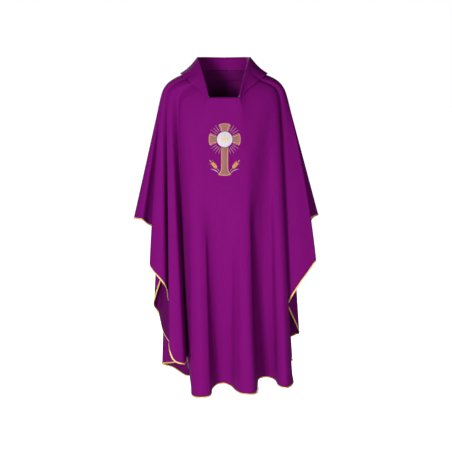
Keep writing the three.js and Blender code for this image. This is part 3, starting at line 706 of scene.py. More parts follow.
# Breadth of the turned-down part: place from the centre back to the front corner,
# share of the collar's fall, and what is added to it.
COLLAR_BREADTH = (
    (0, 1, 0.01), (0.35, 1, 0.005), (0.5, 1, 0), (0.6, 0.93, 0),
    (0.7, 0.63, 0), (0.8, 0.27, 0), (0.9, 0.09, 0), (1, 0, 0.005),
)
COLLAR_END_PLACE = 0.31  # place on the front neckline where the collar ends
COLLAR_BACK_DIP = 0.003  # how much lower the roll is at the back than at the side
COLLAR_END_STAND = 0.01  # height of the stand at the front corners
COLLAR_OFF_SEAM = 0.00135 + 0.0007  # half of the collar's thickness, and its seam gap
COLLAR_LIFT = 0.007  # how far the free edge lies off the panel
COLLAR_LEAN = 0.008  # how far the roll leans out from the seam
COLLAR_ROLL = 0.005  # radius of the roll
COLLAR_SAG = 0.006  # how far the turned-down part hangs below a straight line


def collar_surface(context, stations, sections):
    """The collar's middle layer: rows of points round the neck and over the roll."""
    sizes = context.scene.chasuble_sizes
    front, back = drapes(context)
    share = np.linspace(-1, 1, stations + 1)
    round_ = np.abs(share)
    side = np.where(share < 0, -1, 1)
    stand = sizes.collar_stand
    fall = sizes.collar_fall

    heights = (stand - COLLAR_BACK_DIP, stand, COLLAR_END_STAND)
    height = np.interp(round_, (0, 0.5, 1), heights)[:, None]
    breadths = [fall * share_of + more for _, share_of, more in COLLAR_BREADTH]
    breadth = np.interp(round_, [place for place, _, _ in COLLAR_BREADTH], breadths)
    on_back = round_ < 0.5
    at = np.where(on_back, round_ * 2, 1 + (COLLAR_END_PLACE - 1) * (round_ - 0.5) * 2)
    seam = np.zeros((stations + 1, 3))
    free = np.zeros_like(seam)
    for drape, mask in ((back, on_back), (front, ~on_back)):
        across = drape.across_at((side * at)[mask])
        edge = drape.layer(across, 0, 0)
        inner = np.clip(across, SMALL_SHARE, 1 - SMALL_SHARE)
        run = drape.surface(inner + SMALL_SHARE, 0) - drape.surface(inner - SMALL_SHARE, 0)
        way = unit(np.cross(run, drape.normal(inner, 0)))
        drop = drape.surface(inner, SMALL_SHARE) - drape.surface(inner, 0)
        way *= -np.sign((way * drop).sum(axis=1))[:, None]
        seam[mask] = edge + way * COLLAR_OFF_SEAM
        lift = np.minimum(COLLAR_LIFT, breadth[mask] * 0.4)
        down = drape.reach(across, breadth[mask])
        free_edge = drape.surface(across, down)
        free_edge += drape.normal(across, down) * (LAY_GAP + lift)[:, None]
        free_edge[:, 1] += drape.facing * SEAM_GAP / 2
        free[mask] = free_edge
    out = Drape.outward(seam)
    lean = COLLAR_LEAN * height / stand
    radius = np.minimum(COLLAR_ROLL, height * 0.3)
    top = seam + out * lean + UP * height
    start = top + out * 2 * radius - UP * radius
    sag = (COLLAR_SAG * np.minimum(1, breadth / fall))[:, None]

    def fallen(f):
        return start + (free - start) * f - UP * 4 * sag * f * (1 - f)

    section = [seam, seam + out * lean * 0.45 + UP * height * 0.45, top - UP * radius,
               top + out * radius, start, fallen(0.35), fallen(0.7), free]
    spans = len(section) - 1
    section = [2 * section[0] - section[1], *section, 2 * section[-1] - section[-2]]
    rows = []
    for row in range(sections + 1):
        turned = row / sections * spans
        i = min(int(turned), spans - 1)
        rows.append(curve_between(*section[i:i + 4], turned - i))
    points = np.stack(rows, axis=1)
    edge_run = np.repeat(run_along(free)[:, None], sections + 1, axis=1)
    over_run = run_along(points.swapaxes(0, 1)).T
    return points, np.stack([edge_run, over_run], axis=2)


# ------------------------------------------------------------------ embroidery

STITCH_BASE = 0.0005  # underside of the stitches above the middle of the cloth
CROSS_DROP = 0.248  # origin down to the middle of the host
CROSS_SIDE = 0.003  # and how far that lies to the wearer's left


def chest_place(context):
    """Turns the embroidery's own plane, x across and y up, onto the chest."""
    front, _ = drapes(context)
    reach = float(front.chest_forward(-CROSS_DROP))
    slope = float(front.chest_forward(-1.0) - front.chest_forward(0.0))
    turn = Matrix.Rotation(math.pi / 2 - math.atan(slope), 4, "X")
    return Matrix.Translation((CROSS_SIDE, -reach - SEAM_GAP / 2, -CROSS_DROP)) @ turn


def join_into(bm, part):
    """Moves everything in a finished bmesh into another one."""
    mesh = bpy.data.meshes.new("part")
    part.to_mesh(mesh)
    part.free()
    bm.from_mesh(mesh)
    bpy.data.meshes.remove(mesh)


def satin_path(bm, path, width, height, closed=False, taper=None):
    """Lays a domed band of satin stitches along a flat path."""
    path = np.array(path, dtype=float)
    before = np.roll(path, 1, axis=0)
    after = np.roll(path, -1, axis=0)
    if not closed:
        before[0] = 2 * path[0] - path[1]
        after[-1] = 2 * path[-1] - path[-2]
    onward = unit(after - path)
    middle = unit(unit(path - before) + onward)
    side = np.column_stack([-middle[:, 1], middle[:, 0]])
    stretch = 1 / np.maximum((middle * onward).sum(axis=1), 0.5)
    count = len(path)
    columns = count if closed else count - 1
    around = 8
    angle = np.linspace(0, math.pi, around)
    shape = np.column_stack([np.cos(angle) / 2, np.sin(angle)])
    widths = np.full(count, width) if taper is None else width * np.asarray(taper)
    length = run_along(path)
    total = length[-1] + np.linalg.norm(path[0] - path[-1])

    def place(column, row):
        i = column % count if closed else column
        form = shape[row % around]
        wide = (form[:, 0] * widths[i] * stretch[i])[:, None]
        flat_point = path[i] + side[i] * wide
        tall = height * form[:, 1] * np.minimum(1, widths[i] / width + 0.2)
        points = np.column_stack([flat_point, STITCH_BASE + tall])
        run = np.where(column == count, total, length[np.minimum(i, count - 1)])
        return points, np.column_stack([run, form[:, 0] * widths[i]])

    join_into(bm, closed_tube(columns, around, place, loop=closed))


END_BULGE = 0.005  # how far an arm's end stands out past its corners


def cross_arm_outline(start, end, neck, flare, sharpness, inset):
    """Half an arm of the cross pointing up, from its root to the middle of its end."""
    corner = end - END_BULGE
    points = []
    side_steps, end_steps = 14, 6
    for i in range(side_steps + 1):
        y = start + (corner - inset - start) * (i / side_steps) ** 0.7
        share = min(max((y - start) / (corner - start), 0), 1)
        points.append(((neck + (flare - neck) * share ** sharpness) / 2 - inset, y))
    widest = points[-1][0]
    for i in range(1, end_steps + 1):
        swing = (1 - i / end_steps) * math.pi / 2
        points.append((widest * math.sin(swing),
                       corner - inset + END_BULGE * math.cos(swing)))
    return points


def whole_outline(half):
    """Both sides of an outline whose last point is on the middle line."""
    return half + [(-x, y) for x, y in reversed(half[:-1])]


def stitched_field(bm, outline, height):
    """A padded field of fill stitches with rounded edges."""
    uv = bm.loops.layers.uv["Cloth"]
    verts = [bm.verts.new((x, y, STITCH_BASE)) for x, y in outline]
    face = bm.faces.new(verts)
    raised = bmesh.ops.extrude_face_region(bm, geom=[face])["geom"]
    top = [item for item in raised if isinstance(item, bmesh.types.BMVert)]
    bmesh.ops.translate(bm, verts=top, vec=(0, 0, height))
    above = set(top)
    rim = [edge for edge in bm.edges if above.issuperset(edge.verts)]
    bmesh.ops.bevel(bm, geom=rim, offset=height * 0.7, offset_type="OFFSET", segments=3,
                    profile=0.5, affect="EDGES", material=-1)
    bmesh.ops.recalc_face_normals(bm, faces=bm.faces)
    for face in bm.faces:
        for loop in face.loops:
            loop[uv].uv = loop.vert.co.xy


def new_stitches():
    """An empty bmesh that keeps where each stitch lay on the flat cloth."""
    bm = bmesh.new()
    bm.loops.layers.uv.new("Cloth")
    return bm


def place_stitches(context, bm, turn, name, material, node):
    """Moves finished stitches onto the chest and keeps them as a piece."""
    bm.transform(chest_place(context) @ turn)
    return piece_from(bm, name, material, [node])


class CHASUBLE_OT_cross(bpy.types.Operator):
    """Embroiders the borders and the fields of the four arms of the cross"""
    bl_idname = "chasuble.cross"
    bl_label = "Cross"

    root = 0.0298
    border, border_height = 0.003, 0.0011
    field_height = 0.0005
    # end from the middle, width at the neck, width at the end, sharpness of the flare
    arm = (0.06, 0.026, 0.0455, 2.6)
    shaft = (0.137, 0.026, 0.054, 14)
    arms = {"top": (0, arm), "right": (90, arm), "left": (-90, arm), "shaft": (180, shaft)}

    def execute(self, context):
        colours = context.scene.chasuble_colours
        gold = satin_thread(context, "Border thread", colours.border, 0.0)
        for name, (degrees, form) in self.arms.items():
            turn = Matrix.Rotation(math.radians(degrees), 4, "Z")
            across = -1 if name in ("right", "left") else 1
            copper = fill_thread(context, f"Field thread {name}", colours.field, across)
            middle = cross_arm_outline(self.root, *form, self.border / 2)
            bm = new_stitches()
            satin_path(bm, corners_kept(whole_outline(middle)), self.border,
                       self.border_height)
            place_stitches(context, bm, turn, f"{name}_border_stitches", gold,
                           f"cross_{name}_border")
            bm = new_stitches()
            field = cross_arm_outline(self.root, *form, self.border * 0.8)
            stitched_field(bm, whole_outline(field), self.field_height)
            place_stitches(context, bm, turn, f"{name}_field_stitches", copper,
                           f"cross_{name}_field")
        return {"FINISHED"}


def corners_kept(outline):
    """Doubles the points beside sharp corners, so a band turns there without pinching."""
    sharp, beside = 0.6, 0.0004
    kept = [outline[0]]
    for before, here, after in zip(outline, outline[1:], outline[2:]):
        a = Vector(here) - Vector(before)
        b = Vector(after) - Vector(here)
        if a.angle(b) > sharp:
            kept.append(tuple(Vector(here) - a.normalized() * beside))
            kept.append(tuple(Vector(here) + b.normalized() * beside))
        else:
            kept.append(here)
    return kept + [outline[-1]]


def circle_path(radius, count):
    """Points round a circle, without the first one again."""
    turns = [i / count * 2 * math.pi for i in range(count)]
    return [(radius * math.cos(t), radius * math.sin(t)) for t in turns]


class CHASUBLE_OT_host(bpy.types.Operator):
    """Embroiders the host, the ring round it and the plain motif on it"""
    bl_idname = "chasuble.host"
    bl_label = "Host"

    ring_radius, ring_width, ring_height = 0.0275, 0.0036, 0.0011
    field_radius, field_height = 0.0262, 0.0006
    motif_reach, motif_width, motif_height = 0.015, 0.005, 0.0009

    def execute(self, context):
        colours = context.scene.chasuble_colours
        still = Matrix.Identity(4)
        bm = new_stitches()
        satin_path(bm, circle_path(self.ring_radius, 96), self.ring_width,
                   self.ring_height, closed=True)
        place_stitches(context, bm, still, "host_ring_stitches",
                       satin_thread(context, "Ring thread", colours.host, 0.0),
                       "host_ring")
        bm = new_stitches()
        stitched_field(bm, circle_path(self.field_radius, 72), self.field_height)
        place_stitches(context, bm, still, "host_field_stitches",
                       fill_thread(context, "Host thread", colours.host, 1),
                       "host_disc")
        bm = new_stitches()
        for end in (Vector((self.motif_reach, 0)), Vector((0, self.motif_reach))):
            line = [tuple((-end).lerp(end, i / 12)) for i in range(13)]
            satin_path(bm, line, self.motif_width, self.motif_height)
        bmesh.ops.translate(bm, verts=bm.verts, vec=(0, 0, self.field_height))
        place_stitches(context, bm, still, "host_motif_stitches",
                       satin_thread(context, "Motif thread", colours.motif, 0.0),
                       "host_motif")
        return {"FINISHED"}


def single_stitch(bm, start, end, width, height):
    """One plump stitch between two needle holes."""
    start, end = Vector(start), Vector(end)
    span = end - start
    middle = (start + end) / 2
    matrix = (Matrix.Translation((middle.x, middle.y, STITCH_BASE + height / 2))
              @ Matrix.Rotation(math.atan2(span.y, span.x), 4, "Z")
              @ Matrix.Diagonal((span.length / 2, width / 2, height / 2, 1)))
    bmesh.ops.create_uvsphere(bm, u_segments=8, v_segments=5, radius=1, matrix=matrix,
                              calc_uvs=True)


class CHASUBLE_OT_rays(bpy.types.Operator):
    """Embroiders the rays between the arms of the cross"""
    bl_idname = "chasuble.rays"
    bl_label = "Rays"

    quarters = ("upper_left", "upper_right", "lower_right", "lower_left")
    foot = 0.036
    ends = (0.058, 0.062, 0.06, 0.062, 0.058)
    spread = 11  # degrees from ray to ray
    stitches, overlap = 6, 1.3
    width, narrowing, height = 0.0016, 0.00009, 0.0009

    def execute(self, context):
        colours = context.scene.chasuble_colours
        thread = satin_thread(context, "Ray thread", colours.ray, 0.0)
        for quarter, name in enumerate(self.quarters):
            bm = new_stitches()
            for i, end in enumerate(self.ends):
                angle = math.radians(45 + 90 * quarter + self.spread * (i - 2))
                way = Vector((math.cos(angle), math.sin(angle)))
                step = (end - self.foot) / self.stitches
                for k in range(self.stitches):
                    start = way * (self.foot + step * k)
                    stop = way * (self.foot + step * (k + self.overlap))
                    single_stitch(bm, start, stop, self.width - self.narrowing * k,
                                  self.height)
            place_stitches(context, bm, Matrix.Identity(4), f"{name}_ray_stitches", thread,
                           f"rays_{name}")
        return {"FINISHED"}


class CHASUBLE_OT_wheat(bpy.types.Operator):
    """Embroiders the ears of wheat and the leaves beside the foot of the cross"""
    bl_idname = "chasuble.wheat"
    bl_label = "Wheat and Leaves"

    ear_foot, ear_lean = (0.02, -0.12), 41.5
    stalk, stalk_width, stalk_height = 0.015, 0.0014, 0.0007
    head, pairs = 0.041, 4
    grain_length, grain_width, grain_height = 0.0105, 0.0042, 0.0009
    grain_side, grain_splay = 0.0034, 0.58
    grain_taper = (0.12, 0.55, 0.82, 0.96, 1, 0.93, 0.76, 0.48, 0.1)
    awn_side, awn_reach, awn_thread = 0.0064, (0.0042, 0.0062), 0.0005
    leaf_foot, leaf_reach, leaf_rise = (0.024, -0.124), 0.029, 0.013
    leaf_width, leaf_height = 0.0026, 0.0008

    def execute(self, context):
        colours = context.scene.chasuble_colours
        gold = satin_thread(context, "Wheat thread", colours.wheat, 0.5)
        silver = satin_thread(context, "Leaf thread", colours.leaf, 0.3)
        for name, side in (("left", 1), ("right", -1)):
            bm = new_stitches()
            self.ear(bm)
            turn = (self.beside(side, self.ear_foot)
                    @ Matrix.Rotation(-side * math.radians(self.ear_lean), 4, "Z"))
            place_stitches(context, bm, turn, f"{name}_ear_stitches", gold,
                           f"{name}_wheat_ear")
            bm = new_stitches()
            self.leaf(bm, side)
            place_stitches(context, bm, self.beside(side, self.leaf_foot),
                           f"{name}_leaf_stitches", silver, f"{name}_leaf")
        return {"FINISHED"}

    def beside(self, side, foot):
        """Moves a motif to its foot on one side of the shaft."""
        return Matrix.Translation((side * foot[0], foot[1], 0))

    def ear(self, bm):
        """A stalk with a grain at its tip and pairs of bearded grains below."""
        grain = self.grain_length
        top = self.stalk + self.head
        line = [(0, i / 16 * (top - grain * 0.7)) for i in range(17)]
        satin_path(bm, line, self.stalk_width, self.stalk_height)
        self.grain(bm, (0, top - grain / 2), 0)
        for i in range(self.pairs):
            up = self.stalk + grain / 2 + (self.head - grain * 1.5) * i / self.pairs
            for way in (-1, 1):
                self.grain(bm, (way * self.grain_side, up), -way * self.grain_splay)
                tip = Vector((way * self.awn_side, up + grain * 0.42))
                awn = tip + Vector((way * self.awn_reach[0], self.awn_reach[1]))
                single_stitch(bm, tip, awn, self.awn_thread, self.awn_thread)

    def grain(self, bm, centre, turn):
        """One plump grain, pointed at both ends."""
        matrix = (Matrix.Translation((*centre, STITCH_BASE))
                  @ Matrix.Rotation(turn, 4, "Z"))
        line = [(0, (i / 8 - 0.5) * self.grain_length) for i in range(9)]
        part = new_stitches()
        satin_path(part, line, self.grain_width, self.grain_height, taper=self.grain_taper)
        part.transform(matrix @ Matrix.Translation((0, 0, -STITCH_BASE)))
        join_into(bm, part)

    def leaf(self, bm, side):
        """A leaf that rises and then bends away from the shaft."""
        reach, rise = self.leaf_reach, self.leaf_rise
        line, taper = [], []
        for i in range(25):
            t = i / 24
            x = 2 * t * (1 - t) * reach * 0.45 + t * t * reach
            y = 2 * t * (1 - t) * rise * 0.95 + t * t * rise
            line.append((side * x, y - 0.0015))
            taper.append(0.25 + 0.75 * math.sin(math.pi * min(t * 1.05 + 0.02, 1)) ** 0.7)
        satin_path(bm, line, self.leaf_width, self.leaf_height, taper=taper)


# ------------------------------------------------------------------ shader helpers


def new_group(name, inputs, outputs):
    """A shader node group with named sockets, or the one that is there already."""
    if name in bpy.data.node_groups:
        return bpy.data.node_groups[name], None, None
    group = bpy.data.node_groups.new(name, "ShaderNodeTree")
    for kind, direction, sockets in (("in", "INPUT", inputs), ("out", "OUTPUT", outputs)):
        for label, socket, default in sockets:
            made = group.interface.new_socket(name=label, in_out=direction, socket_type=socket)
            if default is not None:
                made.default_value = default
    start = group.nodes.new("NodeGroupInput")
    end = group.nodes.new("NodeGroupOutput")
    return group, start, end


def feed(tree, node, inputs):
    """Sets a node's inputs, or links them where a socket is given."""
    for key, value in inputs.items():
        if isinstance(value, bpy.types.NodeSocket):
            tree.links.new(value, node.inputs[key])
        else:
            node.inputs[key].default_value = value
    return node


def add_node(tree, kind, inputs=None, **settings):
    """Adds a node with its settings and its inputs."""
    node = tree.nodes.new(kind)
    for key, value in settings.items():
        setattr(node, key, value)
    return feed(tree, node, inputs or {})


def sums(tree, operation, first, second=0.0):
    """The result socket of one arithmetic step."""
    return add_node(tree, "ShaderNodeMath", {0: first, 1: second},
                    operation=operation).outputs[0]


def scaled(tree, base, value, amount):
    """A base and an amount of a value that changes over the surface."""
    return sums(tree, "ADD", base, sums(tree, "MULTIPLY", value, amount))


def ridges(tree, count):
    """Rounded ridges, one for each whole number."""
    return sums(tree, "ABSOLUTE", sums(tree, "SINE", sums(
        tree, "MULTIPLY", count, math.pi)))


def cloth_place(tree):
    """Where a point of a piece lay on the flat cloth."""
    return add_node(tree, "ShaderNodeUVMap", uv_map="Cloth").outputs[0]


FLOAT, VECTOR = "NodeSocketFloat", "NodeSocketVector"
COLOUR_A, COLOUR_B, COLOUR_MIXED = 6, 7, 2  # the colour sockets of a Mix node


def woven_threads():
    """Warp and weft that pass over each other."""
    group, start, end = new_group(
        "Woven Threads",
        [("Vector", VECTOR, None), ("Pitch", FLOAT, 0.0006)],
        [("Height", FLOAT, None), ("Warp", FLOAT, None)])
    if start:
        split = add_node(group, "ShaderNodeSeparateXYZ", {0: start.outputs["Vector"]})
        across = sums(group, "DIVIDE", split.outputs["X"], start.outputs["Pitch"])
        up = sums(group, "DIVIDE", split.outputs["Y"], start.outputs["Pitch"])
        cell = sums(group, "ADD", sums(group, "FLOOR", across), sums(group, "FLOOR", up))
        over = sums(group, "FLOORED_MODULO", cell, 2.0)
        height = add_node(group, "ShaderNodeMix", {
            "Factor": over, "A": ridges(group, across), "B": ridges(group, up)},
            data_type="FLOAT")
        feed(group, end, {"Height": height.outputs["Result"], "Warp": over})
    return group


def cloth_variation():
    """Large soft shade changes, fine slubs in the yarn and a little lint."""
    group, start, end = new_group(
        "Cloth Variation",
        [("Vector", VECTOR, None), ("Amount", FLOAT, 0.12), ("Lint", FLOAT, 0.04)],
        [("Shade", FLOAT, None), ("Lint", FLOAT, None), ("Height", FLOAT, None)])
    if start:
        vector = start.outputs["Vector"]
        large = add_node(group, "ShaderNodeTexNoise", {
            "Vector": vector, "Scale": 7.0, "Detail": 3.0, "Roughness": 0.55})
        slub = add_node(group, "ShaderNodeMapping", {
            "Vector": vector, "Scale": (900.0, 35.0, 900.0)})
        fine = add_node(group, "ShaderNodeTexNoise", {
            "Vector": slub.outputs[0], "Scale": 1.0, "Detail": 2.0})
        mixed = scaled(group, sums(group, "MULTIPLY", large.outputs[0], 0.6),
                       fine.outputs[0], 0.4)
        shade = sums(group, "ADD", 1.0, sums(
            group, "MULTIPLY", sums(group, "SUBTRACT", mixed, 0.5), sums(
                group, "MULTIPLY", start.outputs["Amount"], 2.0)))
        specks = add_node(group, "ShaderNodeTexNoise", {
            "Vector": vector, "Scale": 420.0, "Detail": 1.0})
        lint = sums(group, "MULTIPLY", sums(group, "GREATER_THAN", specks.outputs[0], 0.74),
                    start.outputs["Lint"])
        soft = add_node(group, "ShaderNodeTexNoise", {
            "Vector": vector, "Scale": 22.0, "Detail": 4.0, "Roughness": 0.5})
        feed(group, end, {"Shade": shade, "Lint": lint, "Height": soft.outputs[0]})
    return group


def stitch_rows():
    """Threads side by side, each a little lighter or darker than the next, with painted shade
    in the grooves between them and at the needle holes.
    """
    group, start, end = new_group(
        "Stitch Rows",
        [("Vector", VECTOR, None), ("Thread", FLOAT, 0.00045), ("Slant", FLOAT, 0.0),
         ("Stitch", FLOAT, 0.0)],
        [("Height", FLOAT, None), ("Shade", FLOAT, None)])
    if start:
        split = add_node(group, "ShaderNodeSeparateXYZ", {0: start.outputs["Vector"]})
        slid = sums(group, "ADD", split.outputs["X"], sums(
            group, "MULTIPLY", sums(group, "ABSOLUTE", split.outputs["Y"]),
            start.outputs["Slant"]))
        count = sums(group, "DIVIDE", slid, start.outputs["Thread"])
        row = sums(group, "FLOOR", count)
        random = add_node(group, "ShaderNodeTexWhiteNoise", {"W": row},
                          noise_dimensions="1D").outputs[0]
        ridge = ridges(group, count)
        along = sums(group, "DIVIDE", split.outputs["Y"], 0.0038)
        shifted = sums(group, "FRACT", sums(group, "ADD", along, sums(
            group, "MULTIPLY", row, 0.37)))
        hole = sums(group, "MULTIPLY", sums(group, "LESS_THAN", shifted, 0.12),
                    start.outputs["Stitch"])
        height = sums(group, "SUBTRACT", ridge, hole)
        tone = scaled(group, 0.78, random, 0.3)
        # Painted shade: the colour is darker at the needle holes.
        shade = sums(group, "MULTIPLY", tone, sums(group, "SUBTRACT", 1.0, sums(
            group, "MULTIPLY", hole, 0.35)))
        # Painted shade and light: each thread is darker in the grooves at its sides and
        # lighter on its crown.
        edge = scaled(group, 0.72, ridge, 0.36)
        feed(group, end, {"Height": height, "Shade": sums(group, "MULTIPLY", shade, edge)})
    return group


def new_material(name, **values):
    """A material with a Principled BSDF, or None where it is there already."""
    if name in bpy.data.materials:
        return bpy.data.materials[name], None
    material = bpy.data.materials.new(name)
    material.use_nodes = True
    shader = material.node_tree.nodes["Principled BSDF"]
    for label, value in values.items():
        shader.inputs[label].default_value = value
    return material, shader


def tinted(tree, colour, shade):
    """A colour made lighter or darker by a value."""
    grey = add_node(tree, "ShaderNodeCombineColor", {0: shade, 1: shade, 2: shade})
    return add_node(tree, "ShaderNodeMix", {
        "Factor": 1.0, COLOUR_A: (*colour, 1), COLOUR_B: grey.outputs[0]},
        data_type="RGBA", blend_type="MULTIPLY").outputs[COLOUR_MIXED]


def bumped(tree, height, distance, strength=1.0, normal=None):
    """A normal from a height map, on top of another one if there is one."""
    inputs = {"Height": height, "Distance": distance, "Strength": strength}
    if normal:
        inputs["Normal"] = normal
    return add_node(tree, "ShaderNodeBump", inputs).outputs[0]


def woven_material(name, colour, sheen, amount):
    """Matt woven cloth with a soft bloom."""
    material, shader = new_material(name, **{
        "Sheen Weight": sheen, "Sheen Roughness": 0.5, "Specular IOR Level": 0.06,
        "Sheen Tint": (0.8, 0.1, 0.7, 1)})
    if shader:
        tree = material.node_tree
        place = cloth_place(tree)
        weave = add_node(tree, "ShaderNodeGroup", {"Vector": place, "Pitch": 0.0007},
                         node_tree=woven_threads())
        vary = add_node(tree, "ShaderNodeGroup", {"Vector": place, "Amount": amount},
                        node_tree=cloth_variation())
        # Painted shade: the colour is darker in the weave's grooves and lighter on its crowns.
        shade = sums(tree, "MULTIPLY", vary.outputs["Shade"],
                     scaled(tree, 0.94, weave.outputs["Height"], 0.1))
        lint = add_node(tree, "ShaderNodeMix", {
            "Factor": vary.outputs["Lint"], COLOUR_A: tinted(tree, colour, shade),
            COLOUR_B: (0.6, 0.5, 0.6, 1)}, data_type="RGBA")
        soft = bumped(tree, vary.outputs["Height"], 0.0035, 0.5)
        feed(tree, shader, {
            "Base Color": lint.outputs[COLOUR_MIXED],
            "Roughness": scaled(tree, 0.74, weave.outputs["Warp"], 0.1),
            "Normal": bumped(tree, weave.outputs["Height"], 0.00012, 0.6, soft)})
    return material


def vestment_cloth(context):
    colours = context.scene.chasuble_colours
    return woven_material("Vestment cloth", colours.cloth, 0.02, 0.1)


# The same woven cloth at a darker colour: partly the reverse's own tone and partly painted
# shade on the inner faces, facings and under collar.
def shaded_cloth_reverse(context):
    colours = context.scene.chasuble_colours
    return woven_material("Cloth reverse", colours.reverse, 0.02, 0.12)


def edge_satin(context):
    """Gold satin whose fine diagonal rib catches the light."""
    colours = context.scene.chasuble_colours
    material, shader = new_material("Edge satin", **{
        "Metallic": 0.25, "Specular IOR Level": 0.6, "Sheen Weight": 0.2,
        "Sheen Roughness": 0.3})
    if shader:
        tree = material.node_tree
        place = cloth_place(tree)
        rib = add_node(tree, "ShaderNodeGroup", {
            "Vector": place, "Thread": 0.0006, "Slant": 1.0}, node_tree=stitch_rows())
        vary = add_node(tree, "ShaderNodeTexNoise", {
            "Vector": place, "Scale": 60.0, "Detail": 3.0})
        # The rib's shade carries the painted shade of its grooves; the noise is a random tone.
        shade = sums(tree, "MULTIPLY", scaled(tree, 0.7, vary.outputs[0], 0.5),
                     scaled(tree, 0.6, rib.outputs["Shade"], 0.4))
        feed(tree, shader, {
            "Base Color": tinted(tree, colours.satin, shade),
            "Roughness": scaled(tree, 0.28, vary.outputs[0], 0.2),
            "Normal": bumped(tree, rib.outputs["Height"], 0.00015, 0.6)})
    return material


def thread_material(name, colour, thread, slant, stitch, across):
    """Glossy embroidery thread in rows; a negative across turns the rows."""
    material, shader = new_material(name, **{
        "Metallic": 0.1, "Specular IOR Level": 0.55, "Sheen Weight": 0.15,
        "Sheen Roughness": 0.35})
    if shader:
        tree = material.node_tree
        place = cloth_place(tree)
        if across < 0:
            place = add_node(tree, "ShaderNodeMapping", {
                "Vector": place, "Rotation": (0, 0, math.pi / 2)}).outputs[0]
        rows = add_node(tree, "ShaderNodeGroup", {
            "Vector": place, "Thread": thread, "Slant": slant, "Stitch": stitch},
            node_tree=stitch_rows())
        feed(tree, shader, {
            # The rows' shade holds a random tone per thread and the painted shade of the
            # grooves and needle holes.
            "Base Color": tinted(tree, colour, rows.outputs["Shade"]),
            "Roughness": scaled(tree, 0.55, rows.outputs["Height"], -0.15),
            "Normal": bumped(tree, rows.outputs["Height"], 0.0002, 0.8)})
    return material


def satin_thread(context, name, colour, slant):
    """Threads laid side by side across a narrow band."""
    thread = context.scene.chasuble_sizes.thread
    return thread_material(name, colour, thread, slant, 0.0, 1)


def fill_thread(context, name, colour, across):
    """Rows of short stitches whose needle holes step from row to row."""
    thread = context.scene.chasuble_sizes.thread
    return thread_material(name, colour, thread, 0.0, 1.0, across)


def interlining(context):
    """Plain pale stuff that stays inside the garment."""
    colours = context.scene.chasuble_colours
    material, shader = new_material("Interlining", **{
        "Specular IOR Level": 0.2, "Roughness": 0.9})
    if shader:
        tree = material.node_tree
        place = add_node(tree, "ShaderNodeTexCoord").outputs["Object"]
        fibres = add_node(tree, "ShaderNodeTexNoise", {
            "Vector": place, "Scale": 900.0, "Detail": 4.0})
        shade = scaled(tree, 0.85, fibres.outputs[0], 0.25)
        feed(tree, shader, {
            "Base Color": tinted(tree, colours.lining, shade),
            "Normal": bumped(tree, fibres.outputs[0], 0.0002, 0.5)})
    return material


# ------------------------------------------------------------------ stage


def aimed(context, name, data, place, aim):
    """Puts a light or a camera at a place and turns it to look at another."""
    made = bpy.data.objects.new(name, data)
    made.location = place
    way = Vector(aim) - made.location
    made.rotation_euler = way.to_track_quat("-Z", "Y").to_euler()
    context.scene.collection.objects.link(made)
    return made


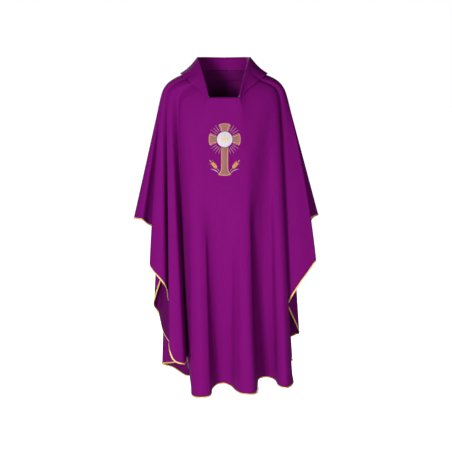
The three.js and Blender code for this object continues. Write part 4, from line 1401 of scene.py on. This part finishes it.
class CHASUBLE_OT_stage(bpy.types.Operator):
    """Sets up the pale floor, the soft lights and the camera"""
    bl_idname = "chasuble.stage"
    bl_label = "Stage"

    floor_size, floor_drop = 30.0, 0.32
    light_aim = (0, 0, -0.55)
    # name, place, size, power
    rigs = (
        ("key", (-1.45, -3.6, -0.3), 0.9, 116),
        ("fill", (0.7, -3.9, -0.7), 1.4, 30),
        ("behind", (-1.2, 3.6, 1.2), 2.0, 90),
        ("above", (0.3, 0.4, 3.0), 2.0, 2),
    )
    camera_place, camera_aim = (0.008, -3.745, 0.039), (0.008, 0, -0.606)
    camera_sensor, camera_lens = 36, 75.7

    def execute(self, context):
        self.floor()
        self.lights(context)
        self.world(context)
        self.camera(context)
        context.scene.view_settings.view_transform = "Standard"
        return {"FINISHED"}

    def floor(self):
        """A wide floor that looks white to the camera and gives no light."""
        bm = bmesh.new()
        bmesh.ops.create_grid(bm, x_segments=1, y_segments=1, size=self.floor_size)
        bmesh.ops.translate(bm, verts=bm.verts, vec=(0, 0, LOWEST - self.floor_drop))
        mesh = bpy.data.meshes.new("floor")
        bm.to_mesh(mesh)
        bm.free()
        material, shader = new_material("Pale floor", **{
            "Roughness": 0.9, "Base Color": (0.93, 0.93, 0.93, 1),
            "Emission Color": (1, 1, 1, 1)})
        tree = material.node_tree
        seen = add_node(tree, "ShaderNodeLightPath").outputs["Is Camera Ray"]
        tree.links.new(sums(tree, "MULTIPLY", seen, 1.05), shader.inputs["Emission Strength"])
        mesh.materials.append(material)
        floor = bpy.data.objects.new("floor", mesh)
        bpy.context.scene.collection.objects.link(floor)

    def lights(self, context):
        """Square lights, all turned to the garment."""
        for name, place, size, power in self.rigs:
            lamp = bpy.data.lights.new(name, "AREA")
            lamp.size = size
            lamp.energy = power
            aimed(context, name, lamp, place, self.light_aim)

    def world(self, context):
        """White to the camera, and a weak light on the cloth."""
        world = bpy.data.worlds.new("Studio")
        context.scene.world = world
        world.use_nodes = True
        tree = world.node_tree
        tree.nodes.clear()
        seen, lit = (add_node(tree, "ShaderNodeBackground", {
            "Color": (1, 1, 1, 1), "Strength": strength}) for strength in (1.0, 0.09))
        path = add_node(tree, "ShaderNodeLightPath")
        mix = add_node(tree, "ShaderNodeMixShader", {
            0: path.outputs["Is Camera Ray"], 1: lit.outputs[0], 2: seen.outputs[0]})
        add_node(tree, "ShaderNodeOutputWorld", {"Surface": mix.outputs[0]})

    def camera(self, context):
        """A long lens that looks a little down at the garment."""
        lens = bpy.data.cameras.new("camera")
        lens.sensor_width = self.camera_sensor
        lens.lens = self.camera_lens
        context.scene.camera = aimed(context, "camera", lens, self.camera_place,
                                     self.camera_aim)


class CHASUBLE_OT_declare(bpy.types.Operator):
    """Finishes without changing anything."""
    bl_idname = "chasuble.declare"
    bl_label = "Flat Cuts"

    def execute(self, context):
        return {"FINISHED"}


BUILD_ORDER = (
    CHASUBLE_OT_panels, CHASUBLE_OT_bindings, CHASUBLE_OT_neck, CHASUBLE_OT_collar,
    CHASUBLE_OT_cross, CHASUBLE_OT_host, CHASUBLE_OT_rays, CHASUBLE_OT_wheat,
    CHASUBLE_OT_declare, CHASUBLE_OT_stage,
)


class CHASUBLE_PT_build(bpy.types.Panel):
    """Builds the vestment piece by piece"""
    bl_label = "Chasuble"
    bl_space_type = "VIEW_3D"
    bl_region_type = "UI"
    bl_category = "Vestment"

    def draw(self, context):
        for step in BUILD_ORDER:
            self.layout.operator(step.bl_idname)
        for group in (context.scene.chasuble_sizes, context.scene.chasuble_colours):
            box = self.layout.box()
            for label in group.__annotations__:
                box.prop(group, label)


CLASSES = (ChasubleSizes, ChasubleColours, *BUILD_ORDER, CHASUBLE_PT_build)


def register():
    for cls in CLASSES:
        bpy.utils.register_class(cls)
    bpy.types.Scene.chasuble_sizes = PointerProperty(type=ChasubleSizes)
    bpy.types.Scene.chasuble_colours = PointerProperty(type=ChasubleColours)


def unregister():
    del bpy.types.Scene.chasuble_colours
    del bpy.types.Scene.chasuble_sizes
    for cls in reversed(CLASSES):
        bpy.utils.unregister_class(cls)


def main():
    register()
    for step in BUILD_ORDER:
        family, name = step.bl_idname.split(".")
        getattr(getattr(bpy.ops, family), name)()


if __name__ == "__main__":
    main()
